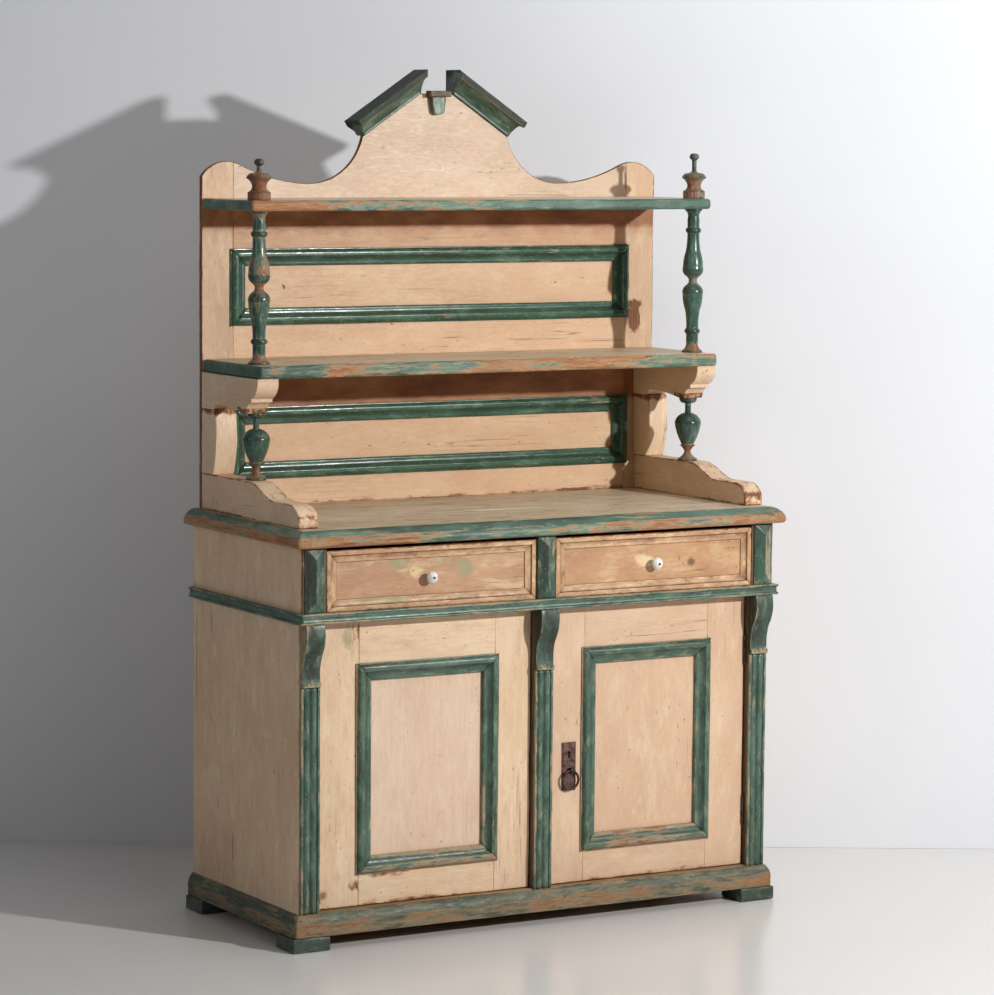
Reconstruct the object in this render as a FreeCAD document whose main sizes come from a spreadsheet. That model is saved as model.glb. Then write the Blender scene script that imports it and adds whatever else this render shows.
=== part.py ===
import FreeCAD, Part
import os
import re
import Sketcher

# Painted buffet cabinet: a two-door, two-drawer case under a tall back with two shelves.
# Millimetres. +X is the right hand of a person facing the doors, +Y the back, +Z up.
# The origin is on the floor, under the middle of the counter.

doc = FreeCAD.newDocument("BuffetCabinet")
sheet = doc.addObject("Spreadsheet::Sheet", "Sizes")

# Driving sizes
sizes = [
    # counter
    ("counterWidth", 1204.0),
    ("counterDepth", 548.0),
    ("counterHeight", 880.0),
    ("counterThickness", 36.0),
    ("counterLip", 24.0),
    ("edgeRun", 30.0),
    ("edgeDrop", 24.0),
    ("edgeNose", 8.0),
    # case
    ("counterOverhang", 22.0),
    ("sideThickness", 22.0),
    ("storeySetback", 19.0),
    ("footHeight", 29.0),
    ("footWidth", 86.0),
    ("footDepth", 82.0),
    ("footOutset", 18.0),
    ("baseHeight", 50.0),
    ("baseOutset", 12.5),
    ("baseRound", 27.0),
    ("bottomThickness", 22.0),
    ("bearerDepth", 40.0),
    ("backBoardThickness", 14.0),
    ("drawerStoreyHeight", 136.0),
    ("waistThickness", 23.0),
    ("waistOutset", 11.0),
    ("waistBead", 7.0),
    ("waistBeadRise", 3.0),
    ("waistHollowInset", 6.0),
    ("waistHollow", 1.5),
    ("drawerRailDepth", 60.0),
    # front members
    ("jambWidth", 26.0),
    ("jambDepth", 33.0),
    ("muntinWidth", 44.0),
    ("muntinShift", 6.0),
    ("pilasterWidth", 44.0),
    ("pilasterThickness", 8.0),
    ("pilasterFillet", 7.0),
    ("pilasterGroove", 5.0),
    ("pilasterGrooveDepth", 4.0),
    ("reedRise", 4.5),
    ("corbelHeight", 132.0),
    ("corbelBand", 10.0),
    ("corbelBandProud", 13.0),
    ("corbelWaistProud", 9.0),
    ("corbelTurnProud", 17.0),
    ("corbelTopProud", 28.0),
    ("corbelTurnHeight", 66.0),
    ("corbelHollow", 5.0),
    ("corbelBelly", 8.0),
    ("drawerStileWidth", 33.0),
    ("drawerStileDepth", 35.0),
    ("drawerPostWidth", 47.0),
    ("hippedInset", 4.0),
    ("hippedWidth", 46.0),
    ("hippedCentreWidth", 44.0),
    ("hippedSlab", 3.0),
    ("hippedRise", 9.0),
    ("hippedRidge", 2.0),
    # doors
    ("doorSetback", 12.0),
    ("doorThickness", 22.0),
    ("doorGap", 2.0),
    ("hingeGap", 3.0),
    ("hingeStileWidth", 97.0),
    ("lockStileWidth", 87.0),
    ("topRailHeight", 98.0),
    ("bottomRailHeight", 73.0),
    ("panelThickness", 9.0),
    ("panelSink", 7.0),
    ("grooveDepth", 8.0),
    # bolection moulding round the panels
    ("bolectionWidth", 38.0),
    ("bolectionLap", 8.0),
    ("bolectionFillet", 3.5),
    ("bolectionRise", 11.0),
    ("bolectionCrown", 12.0),
    ("bolectionFlat", 5.0),
    ("bolectionLow", 30.0),
    ("bolectionLowRise", 2.0),
    ("bolectionOvolo", 2.5),
    ("bolectionBead", 1.2),
    # hinges
    ("hingeHeight", 64.0),
    ("hingeInset", 90.0),
    ("knuckleRadius", 3.0),
    ("knuckleClearance", 0.3),
    ("pinRadius", 1.2),
    ("pinClearance", 0.05),
    ("leafThickness", 1.2),
    ("leafWidth", 18.0),
    # lock, ring and plate
    ("lockPlateWidth", 34.0),
    ("lockPlateHeight", 105.0),
    ("lockPlateThickness", 2.0),
    ("lockPlateInset", 32.0),
    ("lockPlateBottom", 283.0),
    ("keyholeHeight", 83.0),
    ("keyholeRadius", 3.6),
    ("keySlotWidth", 3.6),
    ("keySlotDrop", 13.0),
    ("eyeHeight", 44.0),
    ("eyeRadius", 5.2),
    ("eyeWire", 1.7),
    ("eyeFootRadius", 5.0),
    ("eyeFootThickness", 2.0),
    ("ringRadius", 20.0),
    ("ringWire", 2.6),
    ("ringSeat", 0.3),
    ("lockInset", 1.0),
    ("lockCaseWidth", 70.0),
    ("lockCaseHeight", 60.0),
    ("lockCaseDepth", 16.0),
    ("lockWall", 2.0),
    ("boltHeight", 17.0),
    ("boltThickness", 8.0),
    ("boltLength", 45.0),
    ("boltClearance", 0.3),
    # drawers
    ("drawerSideGap", 1.5),
    ("drawerTopGap", 9.0),
    ("drawerSeat", 0.3),
    ("drawerFrontThickness", 18.0),
    ("drawerFrameProud", 7.0),
    ("drawerFrameWidth", 25.0),
    ("drawerFrameBand", 10.0),
    ("drawerFrameHigh", 5.0),
    ("drawerFrameLow", 2.0),
    ("drawerFrameLip", 4.0),
    ("drawerFrameRound", 1.0),
    ("drawerSideThickness", 12.0),
    ("drawerSideHeight", 104.0),
    ("drawerSideLength", 430.0),
    ("drawerBottomThickness", 8.0),
    ("drawerBottomRaise", 6.0),
    ("knobHeight", 61.0),
    ("leftKnobShift", 7.5),
    ("knobRadius", 13.5),
    ("knobNeck", 6.5),
    ("knobLength", 25.0),
    ("knobStem", 8.0),
    ("knobWidest", 14.8),
    ("knobRound", 1.4),
    ("knobScrew", 3.5),
    ("runnerWidth", 58.0),
    ("guideHeight", 22.0),
    ("guideClearance", 0.5),
    # inside of the cupboard
    ("shelfHeight", 372.0),
    ("innerShelfThickness", 18.0),
    ("innerShelfSetback", 80.0),
    ("cleatSize", 20.0),
    ("cleatLength", 330.0),
    # tall back
    ("backInset", 7.0),
    ("backThickness", 29.5),
    ("backStileWidth", 75.0),
    ("earRadius", 73.0),
    ("earInset", 60.0),
    ("earRise", 748.0),
    ("dipOffset", 313.0),
    ("dipRise", 700.5),
    ("coveRadius", 134.0),
    ("crestTip", 182.5),
    ("rakeAngle", 33.5),
    ("pedimentGap", 41.0),
    ("upperFrameRise", 393.0),
    ("upperFrameHeight", 167.0),
    ("lowerFrameRise", 58.0),
    ("lowerFrameHeight", 158.0),
    # raking cornice and keystone
    ("rakeHeight", 44.0),
    ("rakeProud", 36.0),
    ("rakeFoot", 6.0),
    ("rakeFascia", 14.0),
    ("rakeStep", 4.0),
    ("rakeHollow", 4.0),
    ("rakeEndProud", 9.0),
    ("pedimentGapHeight", 160.0),
    ("keystoneWidth", 52.0),
    ("keystoneCap", 14.0),
    ("keystoneProud", 24.0),
    ("keystoneRise", 6.5),
    ("keystoneBlockWidth", 34.0),
    ("keystoneBlockTaper", 4.0),
    ("keystoneBlockHeight", 32.0),
    ("keystoneBlockProud", 16.0),
    ("keystoneRound", 7.0),
    # shelves
    ("upperShelfRise", 646.0),
    ("upperShelfThickness", 23.0),
    ("upperShelfDepth", 244.0),
    ("upperShelfInset", 1.5),
    ("lowerShelfRise", 296.0),
    ("lowerShelfThickness", 28.0),
    ("lowerShelfDepth", 278.0),
    ("lowerShelfInset", 2.0),
    ("shelfNose", 7.0),
    # gallery on the counter
    ("galleryThickness", 46.0),
    ("galleryHeight", 78.0),
    ("galleryLength", 462.0),
    ("galleryFlat", 238.0),
    ("gallerySlope", 106.0),
    ("galleryNoseHeight", 47.5),
    ("galleryNoseRun", 44.0),
    ("galleryNoseDrop", 24.0),
    ("galleryWave", 5.0),
    ("bracketThickness", 50.0),
    ("uprightDepth", 65.0),
    ("uprightFootSet", 9.0),
    ("uprightBelly", 11.0),
    ("bracketBackHeight", 78.0),
    ("bracketLength", 270.0),
    ("bracketOvoloRun", 29.0),
    ("bracketOvoloDrop", 43.0),
    ("bracketOvoloBulge", 10.0),
    ("bracketFillet", 8.0),
    ("bracketFilletStep", 5.0),
    ("bracketHollowBulge", 5.0),
    ("bracketTipDepth", 75.5),
    ("bracketTipWidth", 22.0),
    ("bracketArch", 4.0),
    ("bracketArchDepth", 66.0),
    # turned pieces
    ("turningInset", 30.5),
    ("turningSetback", 216.0),
    ("balusterSetback", 203.0),
    ("columnFootRadius", 23.5),
    ("columnFootHeight", 4.0),
    ("columnCollarRadius", 20.0),
    ("columnCollarHeight", 3.0),
    ("columnHollow", 18.0),
    ("columnCove", 3.6),
    ("columnStemRadius", 13.7),
    ("columnStem", 20.0),
    ("columnBead", 12.0),
    ("columnBeadRise", 4.2),
    ("columnFlare", 1.05),
    ("columnSwell", 1.4),
    ("columnTaperRadius", 17.0),
    ("columnTaper", 42.0),
    ("columnBellyRadius", 22.8),
    ("columnBelly", 31.0),
    ("columnShoulder", 9.0),
    ("columnShoulderRadius", 14.0),
    ("columnWaist", 4.0),
    ("columnWaistRadius", 9.4),
    ("finialFootRadius", 24.5),
    ("finialFoot", 17.0),
    ("finialCove", 3.4),
    ("finialSwell", 2.1),
    ("finialNeckRadius", 15.2),
    ("finialNeck", 31.0),
    ("finialDiscRadius", 27.5),
    ("finialDisc", 46.0),
    ("finialCapRadius", 17.0),
    ("finialCap", 57.0),
    ("finialPinRadius", 5.2),
    ("finialPin", 86.0),
    ("finialBall", 14.8),
    ("finialBallBulge", 7.0),
    ("finialTipRadius", 2.6),
    ("leftPinSink", 14.0),
    ("balusterFootRadius", 22.4),
    ("balusterFoot", 5.0),
    ("balusterCove", 2.5),
    ("balusterFlare", 1.7),
    ("balusterNeckRadius", 6.8),
    ("balusterNeck", 21.0),
    ("balusterDiscRadius", 18.0),
    ("balusterDisc", 35.0),
    ("balusterBowl", 37.5),
    ("balusterBowlSwell", 2.5),
    ("balusterBowlRadius", 13.5),
    ("balusterBellyRadius", 30.0),
    ("balusterBelly", 87.0),
    ("balusterTop", 109.0),
    ("balusterShoulder", 5.0),
    ("balusterCollarRadius", 20.0),
    ("balusterCollarFoot", 11.5),
    ("balusterCollar", 12.0),
    ("balusterCollarRound", 3.0),
]

# Places worked out from the sizes
places = [
    ("backPlane", "counterDepth / 2"),
    ("frontPlane", "counterLip - counterDepth / 2"),
    ("lowerPlane", "frontPlane + storeySetback"),
    ("caseHalf", "counterWidth / 2 - counterOverhang"),
    ("caseInside", "caseHalf - sideThickness"),
    ("caseBack", "backPlane - backBoardThickness"),
    ("baseTop", "footHeight + baseHeight"),
    ("counterBottom", "counterHeight - counterThickness"),
    ("waistTop", "counterBottom - drawerStoreyHeight"),
    ("waistHeight", "waistTop - waistThickness"),
    ("jambFace", "caseInside - jambWidth"),
    ("muntinLeft", "muntinShift - muntinWidth / 2"),
    ("muntinRight", "muntinShift + muntinWidth / 2"),
    ("corbelBottom", "waistHeight - corbelHeight"),
    ("doorFace", "lowerPlane + doorSetback"),
    ("doorBack", "doorFace + doorThickness"),
    ("doorBottom", "baseTop + doorGap"),
    ("doorTop", "waistHeight - doorGap"),
    ("panelFace", "doorFace + panelSink"),
    ("hingeBack", "doorFace + leafWidth"),
    ("hingeAxisOffset", "knuckleRadius + 0.5 * (hingeGap - 2 * leafThickness)"),
    ("hingeAxisY", "doorFace - knuckleRadius - knuckleClearance"),
    ("lockEdge", "muntinRight + doorGap"),
    ("lockCaseLeft", "lockEdge + lockInset"),
    ("lockPlateLeft", "lockEdge + lockPlateInset"),
    ("lockPlateMiddle", "lockPlateLeft + lockPlateWidth / 2"),
    ("lockPlateFace", "doorFace - lockPlateThickness"),
    ("keyholeZ", "lockPlateBottom + keyholeHeight"),
    ("eyeY", "lockPlateFace - eyeRadius - eyeWire"),
    ("eyeZ", "lockPlateBottom + eyeHeight"),
    ("ringTop", "eyeZ - eyeRadius + eyeWire + ringWire + ringSeat"),
    ("drawerStileFace", "caseInside - drawerStileWidth"),
    ("drawerPostFace", "drawerPostWidth / 2"),
    ("drawerBoardFace", "frontPlane + drawerFrameProud"),
    ("drawerBoardBack", "drawerBoardFace + drawerFrontThickness"),
    ("drawerLow", "waistTop + drawerSeat"),
    ("drawerHigh", "counterBottom - drawerTopGap"),
    ("drawerRear", "drawerBoardBack + drawerSideLength"),
    ("drawerNear", "drawerPostFace + drawerSideGap"),
    ("drawerFar", "drawerStileFace - drawerSideGap"),
    ("railBack", "frontPlane + drawerRailDepth"),
    ("backHalf", "caseHalf - backInset"),
    ("backFace", "backPlane - backThickness"),
    ("backJoint", "backHalf - backStileWidth"),
    ("backPanelFace", "backFace + panelSink"),
    ("backFrameHalf", "backJoint + bolectionLap"),
    ("earX", "backHalf - earInset"),
    ("earZ", "counterHeight + earRise - earRadius"),
    ("dipHeight", "counterHeight + dipRise"),
    ("earSide", "earZ + sqrt(earRadius ^ 2 - earInset ^ 2)"),
    ("earJoint", "earZ + sqrt(earRadius ^ 2 - (earX - backJoint) ^ 2)"),
    ("dipDrop", "dipHeight - earZ"),
    ("sweepSquare", "(earX - dipOffset) ^ 2 + dipDrop ^ 2 - earRadius ^ 2"),
    ("sweepRadius", "sweepSquare / (2 * (earRadius - dipDrop))"),
    ("meetShare", "earRadius / (sweepRadius + earRadius)"),
    ("meetX", "earX + meetShare * (dipOffset - earX)"),
    ("meetZ", "earZ + meetShare * (dipHeight + sweepRadius - earZ)"),
    ("tipZ", "dipHeight + coveRadius - sqrt(coveRadius ^ 2 - (dipOffset - crestTip) ^ 2)"),
    ("crestTop", "tipZ + (crestTip - pedimentGap) * tan(rakeAngle)"),
    ("keystoneTop", "crestTop + keystoneRise"),
    ("upperFrameBottom", "counterHeight + upperFrameRise"),
    ("upperFrameTop", "upperFrameBottom + upperFrameHeight"),
    ("lowerFrameBottom", "counterHeight + lowerFrameRise"),
    ("lowerFrameTop", "lowerFrameBottom + lowerFrameHeight"),
    ("upperShelfBottom", "counterHeight + upperShelfRise"),
    ("lowerShelfBottom", "counterHeight + lowerShelfRise"),
    ("upperShelfTop", "upperShelfBottom + upperShelfThickness"),
    ("lowerShelfTop", "lowerShelfBottom + lowerShelfThickness"),
    ("galleryTop", "counterHeight + galleryHeight"),
    ("galleryFront", "backFace - galleryLength"),
    ("uprightFront", "backFace - uprightDepth"),
    ("bracketBottom", "lowerShelfBottom - bracketBackHeight"),
    ("turningX", "backHalf - turningInset"),
    ("turningY", "backFace - turningSetback"),
    ("balusterY", "backFace - balusterSetback"),
    ("bracketTip", "lowerShelfBottom - bracketTipDepth"),
    ("columnMiddle", "(upperShelfBottom + lowerShelfTop) / 2"),
]

for row, (alias, number) in enumerate(sizes, 1):
    sheet.set(f"A{row}", alias)
    sheet.set(f"B{row}", str(number))
    sheet.setAlias(f"B{row}", alias)
for row, (alias, formula) in enumerate(places, 1):
    sheet.set(f"D{row}", alias)
    sheet.set(f"E{row}", "=" + formula)
    sheet.setAlias(f"E{row}", alias)
doc.recompute()

nodes = []


def bound(text):
    # names of sizes and places become references to the sheet
    return re.sub(r"\b([a-z][A-Za-z]+)\b(?!\()", r"Sizes.\1", str(text))


def value(text):
    return float(sheet.evalExpression(bound(text)))


def bind(item, prop, text):
    item.setExpression(prop, bound(text))


def node(item, name):
    item.Label = name
    nodes.append(item)
    return item


def group(name, pieces):
    bundle = doc.addObject("Part::Compound", name)
    bundle.Links = pieces
    return node(bundle, name)


def place(item, x, y, z, rotation=None):
    if rotation:
        item.Placement.Rotation = rotation
    bind(item, "Placement.Base.x", x)
    bind(item, "Placement.Base.y", y)
    bind(item, "Placement.Base.z", z)
    return item


def block(name, xs, ys, zs):
    # a straight board between two places on each axis
    box = doc.addObject("Part::Box", name)
    bind(box, "Length", f"({xs[1]}) - ({xs[0]})")
    bind(box, "Width", f"({ys[1]}) - ({ys[0]})")
    bind(box, "Height", f"({zs[1]}) - ({zs[0]})")
    return place(box, xs[0], ys[0], zs[0])


def cut(name, base, tool):
    result = doc.addObject("Part::Cut", name)
    result.Base = base
    result.Tool = tool
    return result


def fuse(name, first, second):
    result = doc.addObject("Part::Fuse", name)
    result.Base = first
    result.Tool = second
    return result


def span(side, near, far):
    # the same stretch on the right (side 1) or mirrored to the left (side -1)
    return (near, far) if side > 0 else (f"-({far})", f"-({near})")


def arcBulge(radius, first, second):
    # rise of an arc of that radius over the chord between two points
    chord = f"((({second[0]}) - ({first[0]})) ^ 2 + (({second[1]}) - ({first[1]})) ^ 2)"
    return f"(({radius}) - sqrt(({radius}) ^ 2 - {chord} / 4))"


def drawLoop(sketch, points):
    # points are (across, up) or (across, up, bulge): a bulge makes the next stretch an arc,
    # positive to the left of the way from this point to the next
    spots = [FreeCAD.Vector(value(point[0]), value(point[1]), 0) for point in points]
    ends = []
    for index, point in enumerate(points):
        start = spots[index]
        stop = spots[(index + 1) % len(spots)]
        if len(point) == 2:
            line = sketch.addGeometry(Part.LineSegment(start, stop))
            ends.append((line, 1, 2))
            continue
        bulge = value(point[2])
        chord = stop - start
        left = FreeCAD.Vector(-chord.y, chord.x, 0).normalize()
        middle = (start + stop) / 2 + left * bulge
        if bulge > 0:
            arc = sketch.addGeometry(Part.Arc(stop, middle, start))
            ends.append((arc, 2, 1))
        else:
            arc = sketch.addGeometry(Part.Arc(start, middle, stop))
            ends.append((arc, 1, 2))
    for index, (edge, first, last) in enumerate(ends):
        following, followingFirst, followingLast = ends[(index + 1) % len(ends)]
        joined = Sketcher.Constraint("Coincident", edge, last, following, followingFirst)
        sketch.addConstraint(joined)
    for index, point in enumerate(points):
        edge, first, last = ends[index]
        acrossRule = Sketcher.Constraint("DistanceX", -1, 1, edge, first, spots[index].x)
        across = sketch.addConstraint(acrossRule)
        sketch.setExpression(f"Constraints[{across}]", bound(point[0]))
        heightRule = Sketcher.Constraint("DistanceY", -1, 1, edge, first, spots[index].y)
        height = sketch.addConstraint(heightRule)
        sketch.setExpression(f"Constraints[{height}]", bound(point[1]))
        if len(point) == 3:
            after = points[(index + 1) % len(points)]
            run = f"(({after[0]}) - ({point[0]}))"
            rise = f"(({after[1]}) - ({point[1]}))"
            chord = f"sqrt({run} ^ 2 + {rise} ^ 2)"
            shift = f"(({point[2]}) / 2 - {chord} ^ 2 / (8 * ({point[2]})))"
            centre = sketch.Geometry[edge].Center
            if abs(value(rise)) > abs(value(run)):
                middle = f"(({after[0]}) + ({point[0]})) / 2 - {rise} / {chord} * {shift}"
                rule = Sketcher.Constraint("DistanceX", -1, 1, edge, 3, centre.x)
            else:
                middle = f"(({after[1]}) + ({point[1]})) / 2 + {run} / {chord} * {shift}"
                rule = Sketcher.Constraint("DistanceY", -1, 1, edge, 3, centre.y)
            bend = sketch.addConstraint(rule)
            sketch.setExpression(f"Constraints[{bend}]", bound(middle))


def drawSketch(body, plane, offset, loops):
    sketch = body.newObject("Sketcher::SketchObject", "Outline")
    support = [feature for feature in body.Origin.OriginFeatures if feature.Role == plane][0]
    sketch.AttachmentSupport = [(support, "")]
    sketch.MapMode = "FlatFace"
    bind(sketch, "AttachmentOffset.Base.z", offset)
    for points in loops:
        drawLoop(sketch, points)
    return sketch


def addPad(body, sketch, length):
    pad = body.newObject("PartDesign::Pad", "Pad")
    pad.Profile = sketch
    bind(pad, "Length", length)
    return pad


def shaped(name, plane, points, low, high):
    # an outline carried straight along the axis square to its plane, from low to high
    body = doc.addObject("PartDesign::Body", name)
    offset = f"-({high})" if plane == "XZ_Plane" else low
    sketch = drawSketch(body, plane, offset, [points])
    addPad(body, sketch, f"({high}) - ({low})")
    return body


def turned(name, profile):
    # a profile of (height, radius) or (height, radius, bulge) points turned about the upright axis
    body = doc.addObject("PartDesign::Body", name)
    loop = [("0", profile[0][0])]
    loop += [(point[1], point[0], *point[2:]) for point in profile]
    loop += [("0", profile[-1][0])]
    sketch = drawSketch(body, "XZ_Plane", "0", [loop])
    turn = body.newObject("PartDesign::Revolution", "Turn")
    turn.Profile = sketch
    turn.ReferenceAxis = (sketch, ["V_Axis"])
    turn.Angle = 360
    return body


def axes(first, second):
    # rotation that lays local X and Y along two given directions
    third = first.cross(second)
    return FreeCAD.Rotation(first, second, third, "XYZ")


right = FreeCAD.Vector(1, 0, 0)
back = FreeCAD.Vector(0, 1, 0)
up = FreeCAD.Vector(0, 0, 1)
mitreSpare = 5


def stick(name, length, profile, width, height, mitres):
    # a length of moulding along local X: the profile is (across, out), the outer edge at across 0,
    # and each mitre named leaves the outer edge whole and cuts the inner edge back
    body = doc.addObject("PartDesign::Body", name)
    profileSketch = drawSketch(body, "YZ_Plane", "0", [profile])
    addPad(body, profileSketch, length)
    low = f"-{mitreSpare}"
    high = f"({width}) + {mitreSpare}"
    loops = []
    if "start" in mitres:
        loops.append([(low, low), (high, high), (low, high)])
    if "end" in mitres:
        loops.append([(f"({length}) + {mitreSpare}", low), (f"({length}) + {mitreSpare}", high),
                      (f"({length}) - ({high})", high)])
    mitreSketch = drawSketch(body, "XY_Plane", f"({height}) + {mitreSpare}", loops)
    mitre = body.newObject("PartDesign::Pocket", "Mitre")
    mitre.Profile = mitreSketch
    mitre.Type = "ThroughAll"
    return body


def frame(name, xs, zs, face, profile, width, height):
    # four mitred sticks round a panel, standing out of an upright face towards the front
    across = f"({xs[1]}) - ({xs[0]})"
    tall = f"({zs[1]}) - ({zs[0]})"
    sides = [
        ("Foot", across, (xs[0], zs[0]), axes(right, up)),
        ("Right", tall, (xs[1], zs[0]), axes(up, -right)),
        ("Head", across, (xs[1], zs[1]), axes(-right, -up)),
        ("Left", tall, (xs[0], zs[1]), axes(-up, right)),
    ]
    sticks = []
    for word, length, corner, rotation in sides:
        piece = stick(name + word, length, profile, width, height, ("start", "end"))
        sticks.append(place(piece, corner[0], face, corner[1], rotation))
    return sticks


def surround(name, profile, width, height, bottom, front, outside):
    # three mitred sticks round the front and both sides of the case
    run = f"2 * ({outside})"
    deep = f"backPlane - ({front})"
    frontStick = stick(name + "Front", run, profile, width, height, ("start", "end"))
    rightStick = stick(name + "Right", deep, profile, width, height, ("start",))
    leftStick = stick(name + "Left", deep, profile, width, height, ("end",))
    place(frontStick, f"-({outside})", front, bottom, axes(right, back))
    place(rightStick, outside, front, bottom, axes(back, -right))
    place(leftStick, f"-({outside})", "backPlane", bottom, axes(-back, right))
    return [frontStick, rightStick, leftStick]


# Feet: four plain blocks, the rear pair flush with the back
feet = []
for side in (-1, 1):
    footSpan = span(side, "caseHalf + footOutset - footWidth", "caseHalf + footOutset")
    frontDepths = ("lowerPlane - footOutset", "lowerPlane - footOutset + footDepth")
    feet.append(block("FrontFoot", footSpan, frontDepths, ("0", "footHeight")))
    feet.append(block("RearFoot", footSpan, ("backPlane - footDepth", "backPlane"), ("0", "footHeight")))
group("feet", feet)

# Case sides: one board each, with the drawer storey standing proud of the door storey
for side, name in ((-1, "left_side"), (1, "right_side")):
    sideOutline = [
        ("lowerPlane", "footHeight"),
        ("backPlane", "footHeight"),
        ("backPlane", "counterBottom"),
        ("frontPlane", "counterBottom"),
        ("frontPlane", "waistHeight"),
        ("lowerPlane", "waistHeight"),
    ]
    low, high = span(side, "caseInside", "caseHalf")
    node(shaped("Side", "YZ_Plane", sideOutline, low, high), name)

# Case bottom on a front and a rear bearer
inside = ("-caseInside", "caseInside")
bottomLow = "baseTop - bottomThickness"
group("case_bottom", [
    block("BottomBoard", inside, ("lowerPlane", "caseBack"), (bottomLow, "baseTop")),
    block("FrontBearer", inside, ("lowerPlane", "lowerPlane + bearerDepth"), ("footHeight", bottomLow)),
    block("RearBearer", inside, ("caseBack - bearerDepth", "caseBack"), ("footHeight", bottomLow)),
])

# Back of the case: upright boards side by side between the case sides
backBoardCount = 5
boards = []
for index in range(backBoardCount):
    left = f"-caseInside + {index} * 2 * caseInside / {backBoardCount}"
    boards.append(block("BackBoard", (left, f"{left} + 2 * caseInside / {backBoardCount}"),
                        ("caseBack", "backPlane"), ("footHeight", "counterBottom")))
group("back_boards", boards)

# Front members of the door storey
jambDepths = ("lowerPlane", "lowerPlane + jambDepth")
doorStorey = ("baseTop", "waistHeight")
group("case_stiles", [block("CaseStile", span(side, "jambFace", "caseInside"), jambDepths, doorStorey)
                      for side in (-1, 1)])
node(block("Muntin", ("muntinLeft", "muntinRight"), jambDepths, doorStorey), "centre_muntin")

# Rail between doors and drawers, and the uprights beside the drawers
waist = ("waistHeight", "waistTop")
node(block("DrawerRail", inside, ("frontPlane", "railBack"), waist), "drawer_rail")
drawerDepths = ("frontPlane", "frontPlane + drawerStileDepth")
drawerStorey = ("waistTop", "counterBottom")
drawerUprights = [block("DrawerPost", ("-drawerPostFace", "drawerPostFace"), drawerDepths, drawerStorey)]
for side in (-1, 1):
    stileSpan = span(side, "drawerStileFace", "caseInside")
    drawerUprights.append(block("DrawerStile", stileSpan, drawerDepths, drawerStorey))
group("drawer_stiles", drawerUprights)

# Runners carry the drawer sides, and the guides on them keep the drawers straight
runnerRun = ("railBack", "caseBack")
guideFar = "drawerFar + guideClearance"
guideNear = "drawerNear - guideClearance"
runners = []
for side in (-1, 1):
    runnerOutline = [
        (f"{side} * caseInside", "waistHeight"),
        (f"{side} * (caseInside - runnerWidth)", "waistHeight"),
        (f"{side} * (caseInside - runnerWidth)", "waistTop"),
        (f"{side} * ({guideFar})", "waistTop"),
        (f"{side} * ({guideFar})", "waistTop + guideHeight"),
        (f"{side} * caseInside", "waistTop + guideHeight"),
    ]
    runners.append(shaped("SideRunner", "XZ_Plane", runnerOutline, *runnerRun))
runners.append(shaped("MiddleRunner", "XZ_Plane", [
    ("-runnerWidth", "waistHeight"),
    ("runnerWidth", "waistHeight"),
    ("runnerWidth", "waistTop"),
    (guideNear, "waistTop"),
    (guideNear, "waistTop + guideHeight"),
    (f"-({guideNear})", "waistTop + guideHeight"),
    (f"-({guideNear})", "waistTop"),
    ("-runnerWidth", "waistTop"),
], *runnerRun))
group("drawer_runners", runners)

# Loose shelf in the cupboard, on a cleat at each end
shelfLow = "shelfHeight - innerShelfThickness"
shelfDepths = ("lowerPlane + innerShelfSetback", "caseBack")
node(block("InnerShelf", inside, shelfDepths, (shelfLow, "shelfHeight")), "inner_shelf")
group("shelf_cleats", [block("Cleat", span(side, "caseInside - cleatSize", "caseInside"),
                             ("caseBack - cleatLength", "caseBack"), (f"{shelfLow} - cleatSize", shelfLow))
                       for side in (-1, 1)])

# Counter: the thumb-moulded edge runs round the front and both ends, the back edge is square
counterHalf = "counterWidth / 2"
thumbTop = ("edgeRun", "counterHeight")
thumbLow = ("0", "counterHeight - edgeDrop")
thumbBulge = arcBulge("((edgeRun ^ 2 + edgeDrop ^ 2) / (2 * edgeDrop))", thumbTop, thumbLow)
noseBulge = arcBulge("edgeNose", ("0", "edgeNose"), ("edgeNose", "0"))
lengthways = shaped("CounterLength", "XZ_Plane", [
    (f"-{counterHalf} + edgeNose", "counterBottom"),
    (f"{counterHalf} - edgeNose", "counterBottom", f"-{noseBulge}"),
    (counterHalf, "counterBottom + edgeNose"),
    (counterHalf, "counterHeight - edgeDrop", f"-{thumbBulge}"),
    (f"{counterHalf} - edgeRun", "counterHeight"),
    (f"-{counterHalf} + edgeRun", "counterHeight", f"-{thumbBulge}"),
    (f"-{counterHalf}", "counterHeight - edgeDrop"),
    (f"-{counterHalf}", "counterBottom + edgeNose", f"-{noseBulge}"),
], "-backPlane", "backPlane")
crossways = shaped("CounterCross", "YZ_Plane", [
    ("-backPlane + edgeNose", "counterBottom"),
    ("backPlane", "counterBottom"),
    ("backPlane", "counterHeight"),
    ("-backPlane + edgeRun", "counterHeight", f"-{thumbBulge}"),
    ("-backPlane", "counterHeight - edgeDrop"),
    ("-backPlane", "counterBottom + edgeNose", f"-{noseBulge}"),
], f"-{counterHalf}", counterHalf)
counter = doc.addObject("Part::Common", "Counter")
counter.Base = lengthways
counter.Tool = crossways
node(counter, "counter_top")

# Base moulding: upright lower face under a rounded shoulder
baseRoundBulge = arcBulge("((baseRound ^ 2 + baseOutset ^ 2) / (2 * baseOutset))",
                          ("baseOutset", "baseHeight"), ("0", "baseHeight - baseRound"))
baseProfile = [
    ("0", "0"),
    ("baseOutset", "0"),
    ("baseOutset", "baseHeight", f"-{baseRoundBulge}"),
    ("0", "baseHeight - baseRound"),
]
group("base_moulding", surround("Base", baseProfile, "baseOutset", "baseHeight", "footHeight",
                                "lowerPlane - baseOutset", "caseHalf + baseOutset"))

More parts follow.
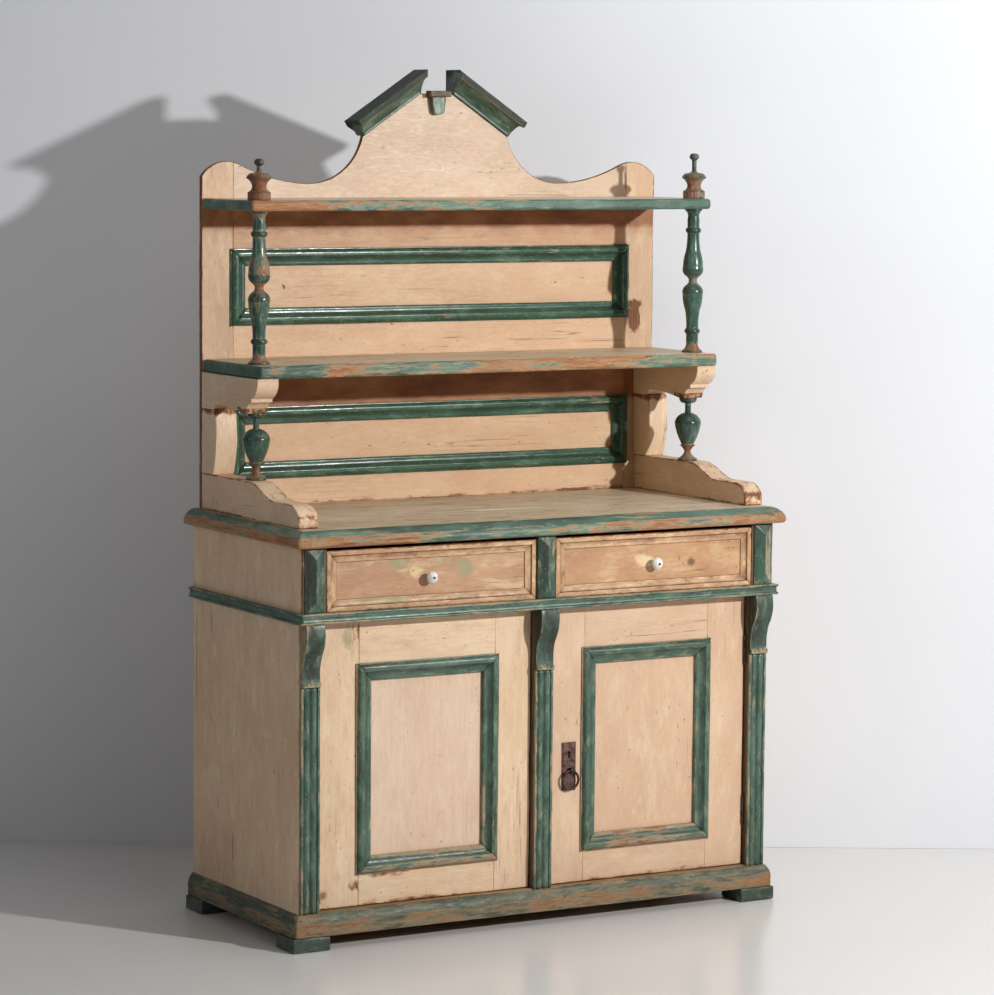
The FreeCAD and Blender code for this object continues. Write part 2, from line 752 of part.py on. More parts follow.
# Waist moulding: a bead, a hollow and a bead
hollowTop = "waistThickness - waistBead"
waistProfile = [
    ("waistOutset", "0"),
    ("waistOutset", "waistThickness"),
    ("waistBeadRise", "waistThickness", "-waistBeadRise"),
    ("waistBeadRise", hollowTop),
    ("waistHollowInset", hollowTop, "waistHollow"),
    ("waistHollowInset", "waistBead"),
    ("waistBeadRise", "waistBead", "-waistBeadRise"),
    ("waistBeadRise", "0"),
]
group("waist_moulding", surround("Waist", waistProfile, "waistOutset", "waistThickness", "waistHeight",
                                 "frontPlane - waistOutset", "caseHalf + waistOutset"))

# Pilasters and corbels: one on each case stile and one on the muntin
endMiddle = "jambFace + pilasterWidth / 2"
middles = [f"-({endMiddle})", "muntinShift", endMiddle]
fillet = "pilasterWidth / 2 - pilasterFillet"
reedHalf = f"({fillet} - pilasterGroove)"
pilasterFace = "lowerPlane - pilasterThickness"
grooveFace = f"{pilasterFace} + pilasterGrooveDepth"
pilasters = []
corbels = []
for middle in middles:
    pilasters.append(shaped("Pilaster", "XY_Plane", [
        (f"{middle} - pilasterWidth / 2", "lowerPlane"),
        (f"{middle} - pilasterWidth / 2", pilasterFace),
        (f"{middle} - ({fillet})", pilasterFace),
        (f"{middle} - ({fillet})", grooveFace),
        (f"{middle} - {reedHalf}", grooveFace, "-reedRise"),
        (f"{middle} + {reedHalf}", grooveFace),
        (f"{middle} + {fillet}", grooveFace),
        (f"{middle} + {fillet}", pilasterFace),
        (f"{middle} + pilasterWidth / 2", pilasterFace),
        (f"{middle} + pilasterWidth / 2", "lowerPlane"),
    ], "baseTop", "corbelBottom"))
    corbels.append(shaped("Corbel", "YZ_Plane", [
        ("lowerPlane", "corbelBottom"),
        ("lowerPlane", "waistHeight"),
        ("lowerPlane - corbelTopProud", "waistHeight", "-corbelBelly"),
        ("lowerPlane - corbelTurnProud", "corbelBottom + corbelTurnHeight", "corbelHollow"),
        ("lowerPlane - corbelWaistProud", "corbelBottom + corbelBand"),
        ("lowerPlane - corbelBandProud", "corbelBottom + corbelBand"),
        ("lowerPlane - corbelBandProud", "corbelBottom"),
    ], f"{middle} - pilasterWidth / 2", f"{middle} + pilasterWidth / 2"))
group("pilasters", pilasters)
group("corbels", corbels)

# Hipped blocks beside the drawers: a slab with a roof-shaped face and an upright ridge
hipped = []
for side in (-1, 0, 1):
    wide = "hippedWidth" if side else "hippedCentreWidth"
    middle = f"{side} * (caseHalf - hippedInset - hippedWidth / 2)"
    roof = doc.addObject("Part::Wedge", "Roof")
    bind(roof, "Xmin", f"-({wide}) / 2")
    bind(roof, "Xmax", f"({wide}) / 2")
    bind(roof, "X2min", "-hippedRidge / 2")
    bind(roof, "X2max", "hippedRidge / 2")
    bind(roof, "Zmin", "waistTop")
    bind(roof, "Zmax", "counterBottom")
    bind(roof, "Z2min", f"waistTop + ({wide}) / 2")
    bind(roof, "Z2max", f"counterBottom - ({wide}) / 2")
    bind(roof, "Ymin", "0")
    bind(roof, "Ymax", "hippedRise")
    place(roof, middle, "frontPlane - hippedSlab", "0", FreeCAD.Rotation(up, 180))
    slab = block("Slab", (f"{middle} - ({wide}) / 2", f"{middle} + ({wide}) / 2"),
                 ("frontPlane - hippedSlab", "frontPlane"), drawerStorey)
    hipped.append(fuse("HippedBlock", slab, roof))
group("hipped_blocks", hipped)

# Bolection moulding: it laps the frame, rises to a crown and falls to the panel
bolectionTop = "bolectionCrown + bolectionFlat"
bolectionProfile = [
    ("0", "0"),
    ("0", "bolectionFillet"),
    ("bolectionFillet", "bolectionFillet", "bolectionOvolo"),
    ("bolectionCrown", "bolectionRise"),
    (bolectionTop, "bolectionRise", "-bolectionOvolo"),
    ("bolectionLow", "bolectionLowRise"),
    ("bolectionWidth - bolectionFillet", "bolectionLowRise", "bolectionBead"),
    ("bolectionWidth", "-panelSink + bolectionFillet"),
    ("bolectionWidth", "-panelSink"),
    ("bolectionLap", "-panelSink"),
    ("bolectionLap", "0"),
]


def panelFrame(name, xs, zs, face):
    # the bolection sticks round one panel opening, lapping its edges
    outerX = (f"{xs[0]} - bolectionLap", f"{xs[1]} + bolectionLap")
    outerZ = (f"{zs[0]} - bolectionLap", f"{zs[1]} + bolectionLap")
    return frame(name, outerX, outerZ, face, bolectionProfile, "bolectionWidth", "bolectionRise")


def panel(name, xs, zs, face):
    # a thin board let into grooves all round its opening
    wide = (f"{xs[0]} - grooveDepth", f"{xs[1]} + grooveDepth")
    tall = (f"{zs[0]} - grooveDepth", f"{zs[1]} + grooveDepth")
    return block(name, wide, (face, f"{face} + panelThickness"), tall)


# Keyhole through the plate, the lock stile and the front of the lock
keyRound = doc.addObject("Part::Cylinder", "KeyRound")
bind(keyRound, "Radius", "keyholeRadius")
bind(keyRound, "Height", "lockPlateThickness + doorThickness + lockWall")
place(keyRound, "lockPlateMiddle", "doorBack + lockWall", "keyholeZ", FreeCAD.Rotation(right, 90))
keySlot = block("KeySlot", ("lockPlateMiddle - keySlotWidth / 2", "lockPlateMiddle + keySlotWidth / 2"),
                ("lockPlateFace", "doorBack + lockWall"), ("keyholeZ - keySlotDrop", "keyholeZ"))
keyhole = fuse("Keyhole", keyRound, keySlot)


def knuckle(zs, axisX, leafX):
    # a barrel on the pin with the tongue that joins it to its leaf
    barrel = doc.addObject("Part::Cylinder", "Barrel")
    bind(barrel, "Radius", "knuckleRadius")
    bind(barrel, "Height", f"({zs[1]}) - ({zs[0]})")
    place(barrel, axisX, "hingeAxisY", zs[0])
    tongue = block("Tongue", leafX, ("hingeAxisY", "doorFace"), zs)
    return fuse("Knuckle", barrel, tongue)


# Doors, hung on butt hinges at the case stiles
doorDepths = ("doorFace", "doorBack")
doorHeights = ("doorBottom", "doorTop")
openingHeights = ("doorBottom + bottomRailHeight", "doorTop - topRailHeight")
caseLeaves = []
pins = []
for side, word, lockFace in ((-1, "left", "muntinLeft"), (1, "right", "muntinRight")):
    hingeEdge = f"{side} * (jambFace - hingeGap)"
    lockEdge = f"{lockFace} + {side} * doorGap"
    hingeInner = f"{hingeEdge} - {side} * hingeStileWidth"
    lockInner = f"{lockEdge} + {side} * lockStileWidth"
    opening = (lockInner, hingeInner)[::side]
    doorPanel = panel(word + "Panel", opening, openingHeights, "panelFace")
    hingeStile = block("HingeStile", (hingeInner, hingeEdge)[::side], doorDepths, doorHeights)
    lockStile = block("LockStile", (lockEdge, lockInner)[::side], doorDepths, doorHeights)
    groovedHinge = cut("GroovedHingeStile", hingeStile, doorPanel)
    groovedLock = cut("GroovedLockStile", lockStile, doorPanel)
    if side > 0:
        groovedLock = cut("KeyedLockStile", groovedLock, keyhole)
    group(word + "_door_stiles", [groovedHinge, groovedLock])
    footRail = block("FootRail", opening, doorDepths, ("doorBottom", openingHeights[0]))
    headRail = block("HeadRail", opening, doorDepths, (openingHeights[1], "doorTop"))
    groovedRails = [cut("GroovedFootRail", footRail, doorPanel), cut("GroovedHeadRail", headRail, doorPanel)]
    group(word + "_door_rails", groovedRails)
    node(doorPanel, word + "_door_panel")
    group(word + "_door_moulding", panelFrame(word + "Bolection", opening, openingHeights, "doorFace"))

    # two butt hinges a door: the case leaf has the outer knuckles, the door leaf the middle one
    axisX = f"{side} * (jambFace - hingeAxisOffset)"
    caseLeafX = span(side, "jambFace - leafThickness", "jambFace")
    doorLeafX = span(side, "jambFace - hingeGap", "jambFace - hingeGap + leafThickness")
    doorLeaves = []
    for bottom in ("doorBottom + hingeInset", "doorTop - hingeInset - hingeHeight"):
        third = "hingeHeight / 3"
        middleZ = (f"{bottom} + {third} + knuckleClearance", f"{bottom} + 2 * {third} - knuckleClearance")
        outerZ = [(bottom, f"{bottom} + {third}"), (f"{bottom} + 2 * {third}", f"{bottom} + hingeHeight")]
        pin = doc.addObject("Part::Cylinder", "HingePin")
        bind(pin, "Radius", "pinRadius")
        bind(pin, "Height", "hingeHeight")
        pins.append(place(pin, axisX, "hingeAxisY", bottom))
        bore = doc.addObject("Part::Cylinder", "PinBore")
        bind(bore, "Radius", "pinRadius + pinClearance")
        bind(bore, "Height", "hingeHeight")
        place(bore, axisX, "hingeAxisY", bottom)

        leafDepths = ("doorFace", "hingeBack")
        caseLeaf = block("CaseLeaf", caseLeafX, leafDepths, (bottom, f"{bottom} + hingeHeight"))
        lowKnuckle = fuse("LowKnuckle", caseLeaf, knuckle(outerZ[0], axisX, caseLeafX))
        bothKnuckles = fuse("BothKnuckles", lowKnuckle, knuckle(outerZ[1], axisX, caseLeafX))
        caseLeaves.append(cut("BoredCaseLeaf", bothKnuckles, bore))
        doorLeaf = block("DoorLeaf", doorLeafX, leafDepths, (bottom, f"{bottom} + hingeHeight"))
        doorKnuckle = fuse("DoorKnuckle", doorLeaf, knuckle(middleZ, axisX, doorLeafX))
        doorLeaves.append(cut("BoredDoorLeaf", doorKnuckle, bore))
    group(word + "_door_hinge_leaves", doorLeaves)
group("case_hinge_leaves", caseLeaves)
group("hinge_pins", pins)

# Lock plate, ring staple and ring on the right door
plateBlank = block("LockPlate", ("lockPlateLeft", "lockPlateLeft + lockPlateWidth"),
                   ("lockPlateFace", "doorFace"), ("lockPlateBottom", "lockPlateBottom + lockPlateHeight"))
node(cut("PiercedPlate", plateBlank, keyhole), "lock_plate")
eye = doc.addObject("Part::Torus", "Eye")
bind(eye, "Radius1", "eyeRadius")
bind(eye, "Radius2", "eyeWire")
place(eye, "lockPlateMiddle", "eyeY", "eyeZ", FreeCAD.Rotation(back, 90))
eyeFoot = doc.addObject("Part::Cylinder", "EyeFoot")
bind(eyeFoot, "Radius", "eyeFootRadius")
bind(eyeFoot, "Height", "eyeFootThickness")
place(eyeFoot, "lockPlateMiddle", "lockPlateFace", "eyeZ", FreeCAD.Rotation(right, 90))
node(fuse("Staple", eye, eyeFoot), "ring_staple")
ring = doc.addObject("Part::Torus", "Ring")
bind(ring, "Radius1", "ringRadius")
bind(ring, "Radius2", "ringWire")
place(ring, "lockPlateMiddle", "eyeY", "ringTop - ringRadius", FreeCAD.Rotation(right, 90))
node(ring, "ring_pull")

# Box lock on the back of the right door, with its bolt drawn back
lockZ = "keyholeZ - keySlotDrop / 2"
lockDepths = ("doorBack", "doorBack + lockCaseDepth")
caseBlank = block("LockBlank", ("lockCaseLeft", "lockCaseLeft + lockCaseWidth"), lockDepths,
                  (f"{lockZ} - lockCaseHeight / 2", f"{lockZ} + lockCaseHeight / 2"))
boltY = "doorBack + lockWall + boltClearance"
boltHalf = "boltHeight / 2"
channel = block("BoltChannel", ("lockCaseLeft", "lockCaseLeft + lockCaseWidth - lockWall"),
                ("doorBack + lockWall", f"{boltY} + boltThickness + boltClearance"),
                (f"{lockZ} - {boltHalf} - boltClearance", f"{lockZ} + {boltHalf} + boltClearance"))
node(cut("PiercedLock", cut("HollowLock", caseBlank, channel), keyhole), "lock_case")
node(block("Bolt", ("lockCaseLeft", "lockCaseLeft + boltLength"), (boltY, f"{boltY} + boltThickness"),
           (f"{lockZ} - {boltHalf}", f"{lockZ} + {boltHalf}")), "lock_bolt")

# Drawers: a board behind an applied frame, a plain box and a porcelain knob
frameProfile = [
    ("0", "0"),
    ("0", "drawerFrameProud"),
    ("drawerFrameBand", "drawerFrameProud"),
    ("drawerFrameBand", "drawerFrameHigh", "-drawerFrameRound"),
    ("drawerFrameWidth - drawerFrameLip", "drawerFrameLow"),
    ("drawerFrameWidth", "drawerFrameLow"),
    ("drawerFrameWidth", "0"),
]
knobProfile = [
    ("0", "knobNeck"),
    ("knobStem", "knobNeck", "-knobRound"),
    ("knobWidest", "knobRadius", "-knobRound"),
    ("knobLength", "knobScrew"),
]
for side, word in ((-1, "left"), (1, "right")):
    front = span(side, "drawerNear", "drawerFar")
    heights = ("drawerLow", "drawerHigh")
    boardDepths = ("drawerBoardFace", "drawerBoardBack")
    node(block("DrawerFront", front, boardDepths, heights), word + "_drawer_front")
    applied = frame(word + "Applied", front, heights, "drawerBoardFace", frameProfile,
                    "drawerFrameWidth", "drawerFrameProud")
    group(word + "_drawer_moulding", applied)
    length = ("drawerBoardBack", "drawerRear")
    boxHeights = ("drawerLow", "drawerLow + drawerSideHeight")
    innerNear = "drawerNear + drawerSideThickness"
    innerFar = "drawerFar - drawerSideThickness"
    between = span(side, innerNear, innerFar)
    bottomTop = "drawerLow + drawerBottomRaise + drawerBottomThickness"
    group(word + "_drawer_box", [
        block("NearSide", span(side, "drawerNear", innerNear), length, boxHeights),
        block("FarSide", span(side, innerFar, "drawerFar"), length, boxHeights),
        block("DrawerBack", between, ("drawerRear - drawerSideThickness", "drawerRear"),
              (bottomTop, boxHeights[1])),
    ])
    node(block("DrawerBottom", between, length, ("drawerLow + drawerBottomRaise", bottomTop)),
         word + "_drawer_bottom")
    knob = turned("Knob", knobProfile)
    knobShift = "0" if side > 0 else "leftKnobShift"
    knobX = f"{side} * ((drawerNear + drawerFar) / 2 + {knobShift})"
    place(knob, knobX, "drawerBoardFace", "drawerLow + knobHeight", FreeCAD.Rotation(right, 90))
    node(knob, word + "_drawer_knob")

# Tall back: stiles with round ears, a crest board, two rails and two grooved panels
upperOpening = ("upperFrameBottom + bolectionLap", "upperFrameTop - bolectionLap")
lowerOpening = ("lowerFrameBottom + bolectionLap", "lowerFrameTop - bolectionLap")
backOpening = ("-backFrameHalf + bolectionLap", "backFrameHalf - bolectionLap")
backDepths = ("backFace", "backPlane")
upperPanel = panel("UpperBackPanel", backOpening, upperOpening, "backPanelFace")
lowerPanel = panel("LowerBackPanel", backOpening, lowerOpening, "backPanelFace")
group("back_panels", [upperPanel, lowerPanel])
backSticks = panelFrame("UpperBolection", backOpening, upperOpening, "backFace")
backSticks += panelFrame("LowerBolection", backOpening, lowerOpening, "backFace")
group("back_panel_mouldings", backSticks)

backStiles = []
for side in (-1, 1):
    jointTop = ("backJoint", "earJoint")
    sideTop = ("backHalf", "earSide")
    earBulge = arcBulge("earRadius", jointTop, sideTop)
    stileOutline = [
        (f"{side} * backJoint", "counterHeight"),
        (f"{side} * backJoint", "earJoint", f"{side} * {earBulge}"),
        (f"{side} * backHalf", "earSide"),
        (f"{side} * backHalf", "counterHeight"),
    ]
    stile = shaped("BackStile", "XZ_Plane", stileOutline, *backDepths)
    backStiles.append(cut("GroovedBackStile", cut("HalfGrooved", stile, upperPanel), lowerPanel))
group("back_stiles", backStiles)

earArc = arcBulge("earRadius", ("backJoint", "earJoint"), ("meetX", "meetZ"))
sweepArc = arcBulge("sweepRadius", ("meetX", "meetZ"), ("dipOffset", "dipHeight"))
coveArc = arcBulge("coveRadius", ("dipOffset", "dipHeight"), ("crestTip", "tipZ"))
crestOutline = [
    ("-backJoint", upperOpening[1]),
    ("backJoint", upperOpening[1]),
    ("backJoint", "earJoint", f"-{earArc}"),
    ("meetX", "meetZ", sweepArc),
    ("dipOffset", "dipHeight", coveArc),
    ("crestTip", "tipZ"),
    ("pedimentGap", "crestTop"),
    ("-pedimentGap", "crestTop"),
    ("-crestTip", "tipZ", coveArc),
    ("-dipOffset", "dipHeight", sweepArc),
    ("-meetX", "meetZ", f"-{earArc}"),
    ("-backJoint", "earJoint"),
]
crest = shaped("Crest", "XZ_Plane", crestOutline, *backDepths)
node(cut("GroovedCrest", crest, upperPanel), "crest_board")

betweenStiles = ("-backJoint", "backJoint")
middleRail = block("MiddleRail", betweenStiles, backDepths, (lowerOpening[1], upperOpening[0]))
bottomRail = block("BottomRail", betweenStiles, backDepths, ("counterHeight", lowerOpening[0]))
group("back_rails", [
    cut("GroovedMiddleRail", cut("HalfGroovedRail", middleRail, upperPanel), lowerPanel),
    cut("GroovedBottomRail", bottomRail, lowerPanel),
])

# Raking cornices: they cap the sloping edges of the crest and stop short of each other
fasciaLow = "rakeHeight - rakeFascia"
hollowProfile = [
    ("backThickness", "0"),
    ("backThickness", fasciaLow),
    ("-rakeProud + rakeStep", fasciaLow, "rakeHollow"),
    ("-rakeFoot", "rakeFoot"),
    ("-rakeFoot", "0"),
]
fasciaProfile = [
    ("backThickness", fasciaLow),
    ("backThickness", "rakeHeight"),
    ("-rakeProud", "rakeHeight"),
    ("-rakeProud", fasciaLow),
]
gapBox = block("PedimentGap", ("-pedimentGap", "pedimentGap"), ("backFace - rakeProud", "backPlane"),
               ("tipZ", "tipZ + pedimentGapHeight"))
slopeLength = "crestTip / cos(rakeAngle)"
rakes = []
for side in (-1, 1):
    lengths = []
    for name, profile, beyond in (("Hollow", hollowProfile, "0"), ("Fascia", fasciaProfile, "rakeEndProud")):
        low, high = span(-side, f"-{beyond}", slopeLength)
        body = shaped(name, "YZ_Plane", profile, low, high)
        tilt = FreeCAD.Rotation(back * side, value("rakeAngle"))
        place(body, f"{side} * crestTip", "backFace", "tipZ", tilt)
        bind(body, "Placement.Rotation.Angle", "rakeAngle")
        lengths.append(body)
    rakes.append(cut("CutRake", fuse("Rake", *lengths), gapBox))
group("raking_cornices", rakes)

# Keystone bracket in the gap: a flat cap over a tapering block with a rounded foot
capLow = "keystoneTop - keystoneCap"
capSpan = ("-keystoneWidth / 2", "keystoneWidth / 2")
cap = block("KeystoneCap", capSpan, ("backFace - keystoneProud", "backFace"), (capLow, "keystoneTop"))
blockHalf = "keystoneBlockWidth / 2"
blockFoot = f"{capLow} - keystoneBlockHeight"
tapering = shaped("KeystoneBlock", "XZ_Plane", [
    (f"-{blockHalf}", capLow),
    (f"-{blockHalf} + keystoneBlockTaper", blockFoot, "-keystoneRound"),
    (f"{blockHalf} - keystoneBlockTaper", blockFoot),
    (blockHalf, capLow),
], "backFace - keystoneBlockProud", "backFace")
node(fuse("Keystone", cap, tapering), "keystone")

# Shelves with a rounded nose, housed against the face of the back
noseArc = "-" + arcBulge("shelfNose", ("0", "shelfNose"), ("shelfNose", "0"))
for word in ("upper", "lower"):
    low = f"{word}ShelfBottom"
    high = f"{word}ShelfTop"
    nosing = f"backFace - {word}ShelfDepth"
    half = f"(backHalf - {word}ShelfInset)"
    shelfOutline = [
        ("backFace", low),
        ("backFace", high),
        (f"{nosing} + shelfNose", high, noseArc),
        (nosing, f"{high} - shelfNose"),
        (nosing, f"{low} + shelfNose", noseArc),
        (f"{nosing} + shelfNose", low),
    ]
    node(shaped("Shelf", "YZ_Plane", shelfOutline, f"-{half}", half), word + "_shelf")

# Gallery at each end of the counter: a rail with a falling front, an upright and a shelf bracket
slopeTop = "backFace - galleryFlat"
slopeFoot = f"{slopeTop} - gallerySlope"
noseTop = "counterHeight + galleryNoseHeight"
slopeMiddle = (f"{slopeTop} - gallerySlope / 2", f"(galleryTop + {noseTop}) / 2")
noseHead = ("galleryFront + galleryNoseRun", noseTop)
noseFoot = ("galleryFront", f"{noseTop} - galleryNoseDrop")
noseRadius = "((galleryNoseRun ^ 2 + galleryNoseDrop ^ 2) / (2 * galleryNoseDrop))"
railOutline = [
    ("backFace", "counterHeight"),
    ("backFace", "galleryTop"),
    (slopeTop, "galleryTop", "-galleryWave"),
    (*slopeMiddle, "galleryWave"),
    (slopeFoot, noseTop),
    (*noseHead, "-" + arcBulge(noseRadius, noseHead, noseFoot)),
    noseFoot,
    ("galleryFront", "counterHeight"),
]
uprightOutline = [
    ("backFace", "galleryTop"),
    ("backFace", "bracketBottom"),
    ("uprightFront", "bracketBottom", "-uprightBelly"),
    ("uprightFront + uprightFootSet", "galleryTop"),
]
bracketNose = "backFace - bracketLength"
ovoloFoot = (f"{bracketNose} + bracketOvoloRun", "lowerShelfBottom - bracketOvoloDrop")
filletFoot = (ovoloFoot[0], f"{ovoloFoot[1]} - bracketFillet")
hollowHead = (f"{ovoloFoot[0]} + bracketFilletStep", filletFoot[1])
tipFront = ("balusterY - bracketTipWidth / 2", "bracketTip")
tipBack = ("balusterY + bracketTipWidth / 2", "bracketTip")
bracketOutline = [
    ("backFace", "lowerShelfBottom"),
    (bracketNose, "lowerShelfBottom", "-bracketOvoloBulge"),
    ovoloFoot,
    filletFoot,
    (*hollowHead, "bracketHollowBulge"),
    tipFront,
    (*tipBack, "bracketArch"),
    ("uprightFront", "lowerShelfBottom - bracketArchDepth"),
    ("uprightFront", "bracketBottom"),
    ("backFace", "bracketBottom"),
]
for name, outline, thickness in (("gallery_rails", railOutline, "galleryThickness"),
                                 ("gallery_uprights", uprightOutline, "bracketThickness"),
                                 ("shelf_brackets", bracketOutline, "bracketThickness")):
    pair = []
    for side in (-1, 1):
        low, high = span(side, f"backHalf - {thickness}", "backHalf")
        pair.append(shaped("Gallery", "YZ_Plane", outline, low, high))
    group(name, pair)


def columnEnd(flangeRadius, flangeHeight):
    # heights measured from one end of a column up to its belly, next to the waist
    stemLow = f"({flangeHeight} + columnHollow)"
    beadLow = f"({stemLow} + columnStem)"
    beadHigh = f"({beadLow} + columnBead)"
    taper = f"({beadHigh} + columnTaper)"
    return [
        ("0", flangeRadius),
        (flangeHeight, flangeRadius, "columnCove"),
        (stemLow, "columnStemRadius"),
        (beadLow, "columnStemRadius", "-columnBeadRise"),
        (beadHigh, "columnStemRadius", "columnFlare"),
        (taper, "columnTaperRadius", "-columnSwell"),
    ]


columnProfile = [(f"lowerShelfTop + {point[0]}", *point[1:])
                 for point in columnEnd("columnFootRadius", "columnFootHeight")]
columnProfile += [
    ("columnMiddle - columnBelly", "columnBellyRadius", "-columnBeadRise"),
    ("columnMiddle - columnShoulder", "columnShoulderRadius"),
    ("columnMiddle - columnWaist", "columnWaistRadius"),
    ("columnMiddle + columnWaist", "columnWaistRadius"),
    ("columnMiddle + columnShoulder", "columnShoulderRadius", "-columnBeadRise"),
    ("columnMiddle + columnBelly", "columnBellyRadius", "-columnSwell"),
]
topEnd = columnEnd("columnCollarRadius", "columnCollarHeight")
bulges = [point[2] if len(point) > 2 else None for point in topEnd[:-1]]
for point, bulge in zip(reversed(topEnd), reversed([None] + bulges)):
    mirrored = (f"upperShelfBottom - {point[0]}", point[1])
    columnProfile.append(mirrored if bulge is None else (*mirrored, bulge))

finialProfile = [
    ("0", "finialFootRadius"),
    ("finialFoot", "finialFootRadius", "finialCove"),
    ("finialNeck", "finialNeckRadius", "finialSwell"),
    ("finialDisc", "finialDiscRadius", "-finialSwell"),
    ("finialCap", "finialCapRadius", "finialSwell"),
    ("finialCap + finialPinRadius", "finialPinRadius"),
]
balusterHeight = "bracketTip - galleryTop"
balusterProfile = [
    ("0", "balusterFootRadius"),
    ("balusterFoot", "balusterFootRadius", "balusterCove"),
    ("balusterNeck", "balusterNeckRadius", "balusterFlare"),
    ("balusterDisc", "balusterDiscRadius"),
    ("balusterBowl", "balusterBowlRadius", "-balusterBowlSwell"),
    ("balusterBelly", "balusterBellyRadius", "-balusterShoulder"),
    ("balusterTop", "balusterNeckRadius"),
    (f"{balusterHeight} - balusterCollar", "balusterNeckRadius"),
    (f"{balusterHeight} - balusterCollar", "balusterCollarFoot", "-balusterCollarRound"),
    (balusterHeight, "balusterCollarRadius"),
]
columns = []
finials = []
balusters = []
for side in (-1, 1):
    axisX = f"{side} * turningX"
    columns.append(place(turned("Column", columnProfile), axisX, "turningY", "0"))
    balusters.append(place(turned("Baluster", balusterProfile), axisX, "balusterY", "galleryTop"))
    pinTop = "finialPin" if side > 0 else "finialPin - leftPinSink"
    pinProfile = [
        (pinTop, "finialPinRadius", "-finialBallBulge"),
        (f"{pinTop} + finialBall", "finialTipRadius"),
    ]
    finials.append(place(turned("Finial", finialProfile + pinProfile), axisX, "turningY", "upperShelfTop"))
group("upper_columns", columns)
group("finials", finials)
group("balusters", balusters)

doc.recompute()

# Every feature has to be sound, and every mitre has to have cut, before anything is written
faults = []
for item in doc.Objects:
    if "Invalid" in item.State or "Error" in item.State:
        faults.append(f"{item.Label} {item.State}")
    if item.TypeId == "PartDesign::Pocket" and item.Shape.Volume >= item.BaseFeature.Shape.Volume:
        faults.append(f"{item.Label} of {item.getParentGeoFeatureGroup().Label} cuts nothing")
for item in nodes:
    if item.Shape.isNull() or not item.Shape.isValid() or not item.Shape.Solids:
        faults.append(f"{item.Label} has no sound shape")
if faults:
    raise RuntimeError("; ".join(faults))

os.makedirs("parts", exist_ok=True)
for item in nodes:
    item.Shape.exportStep(f"parts/{item.Label}.step")
    box = item.Shape.BoundBox
    print(f"{item.Label}: {len(item.Shape.Solids)} solids, x {box.XMin:.1f} {box.XMax:.1f}, "
          f"y {box.YMin:.1f} {box.YMax:.1f}, z {box.ZMin:.1f} {box.ZMax:.1f}")
print(f"{len(nodes)} nodes")
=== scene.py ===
import bpy
import math
import numpy as np
from functools import partial
from mathutils import Matrix, Vector


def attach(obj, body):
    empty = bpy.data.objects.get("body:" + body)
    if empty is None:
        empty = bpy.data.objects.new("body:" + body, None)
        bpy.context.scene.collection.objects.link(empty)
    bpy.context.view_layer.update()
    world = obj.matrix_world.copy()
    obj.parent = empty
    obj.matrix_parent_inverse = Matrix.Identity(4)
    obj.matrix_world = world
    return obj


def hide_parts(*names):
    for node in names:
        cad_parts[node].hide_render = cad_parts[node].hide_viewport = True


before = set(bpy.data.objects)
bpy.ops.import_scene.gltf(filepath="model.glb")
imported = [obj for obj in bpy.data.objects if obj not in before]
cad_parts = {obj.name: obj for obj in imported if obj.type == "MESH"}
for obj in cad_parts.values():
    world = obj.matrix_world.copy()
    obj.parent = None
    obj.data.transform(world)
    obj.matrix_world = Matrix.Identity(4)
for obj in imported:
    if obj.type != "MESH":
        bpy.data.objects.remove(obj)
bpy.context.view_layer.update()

print("frame loaded,", len(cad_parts), "nodes")

scene = bpy.context.scene
mm = 0.001  # shapes are worked out in millimetres and written to the meshes in metres


def sway(place, seed):  # slow wander of a hand-planed edge: four sines of random length and phase
    draw = np.random.default_rng(seed)
    total = np.zeros(np.shape(place))
    for size in (610.0, 280.0, 130.0, 60.0):
        wave = 2 * np.pi * (place / (size * draw.uniform(0.8, 1.25)) + draw.random())
        total = total + np.sin(wave) * size ** 0.6
    return total / 60.0


def woodShift(seed):  # each board is cut from another part of the plank
    return np.random.default_rng(seed + 400).uniform(-3000, 3000, 3)


def grid(*axes):  # points from their coordinates, with rows and columns filled out
    return np.stack(np.broadcast_arrays(*axes), -1)


def axesOf(shell):  # x, y and z of every point, as views
    return np.moveaxis(shell["points"], -1, 0)


def ladder(width, step):  # places across a face: close together at both edges, then about one step apart
    near = np.array([0.0, 1.2, 3.5, 8.0, 16.0])
    near = near[near < max(width * 0.42, 0.1)]
    count = max(2, int((width - 2 * near[-1]) / step) + 2)
    return np.unique(np.concatenate([near, np.linspace(near[-1], width - near[-1], count), width - near]))


def reading(edge, place):  # an edge is a number or a function of the place along the board
    return edge(place) if callable(edge) else np.full(len(place), float(edge))


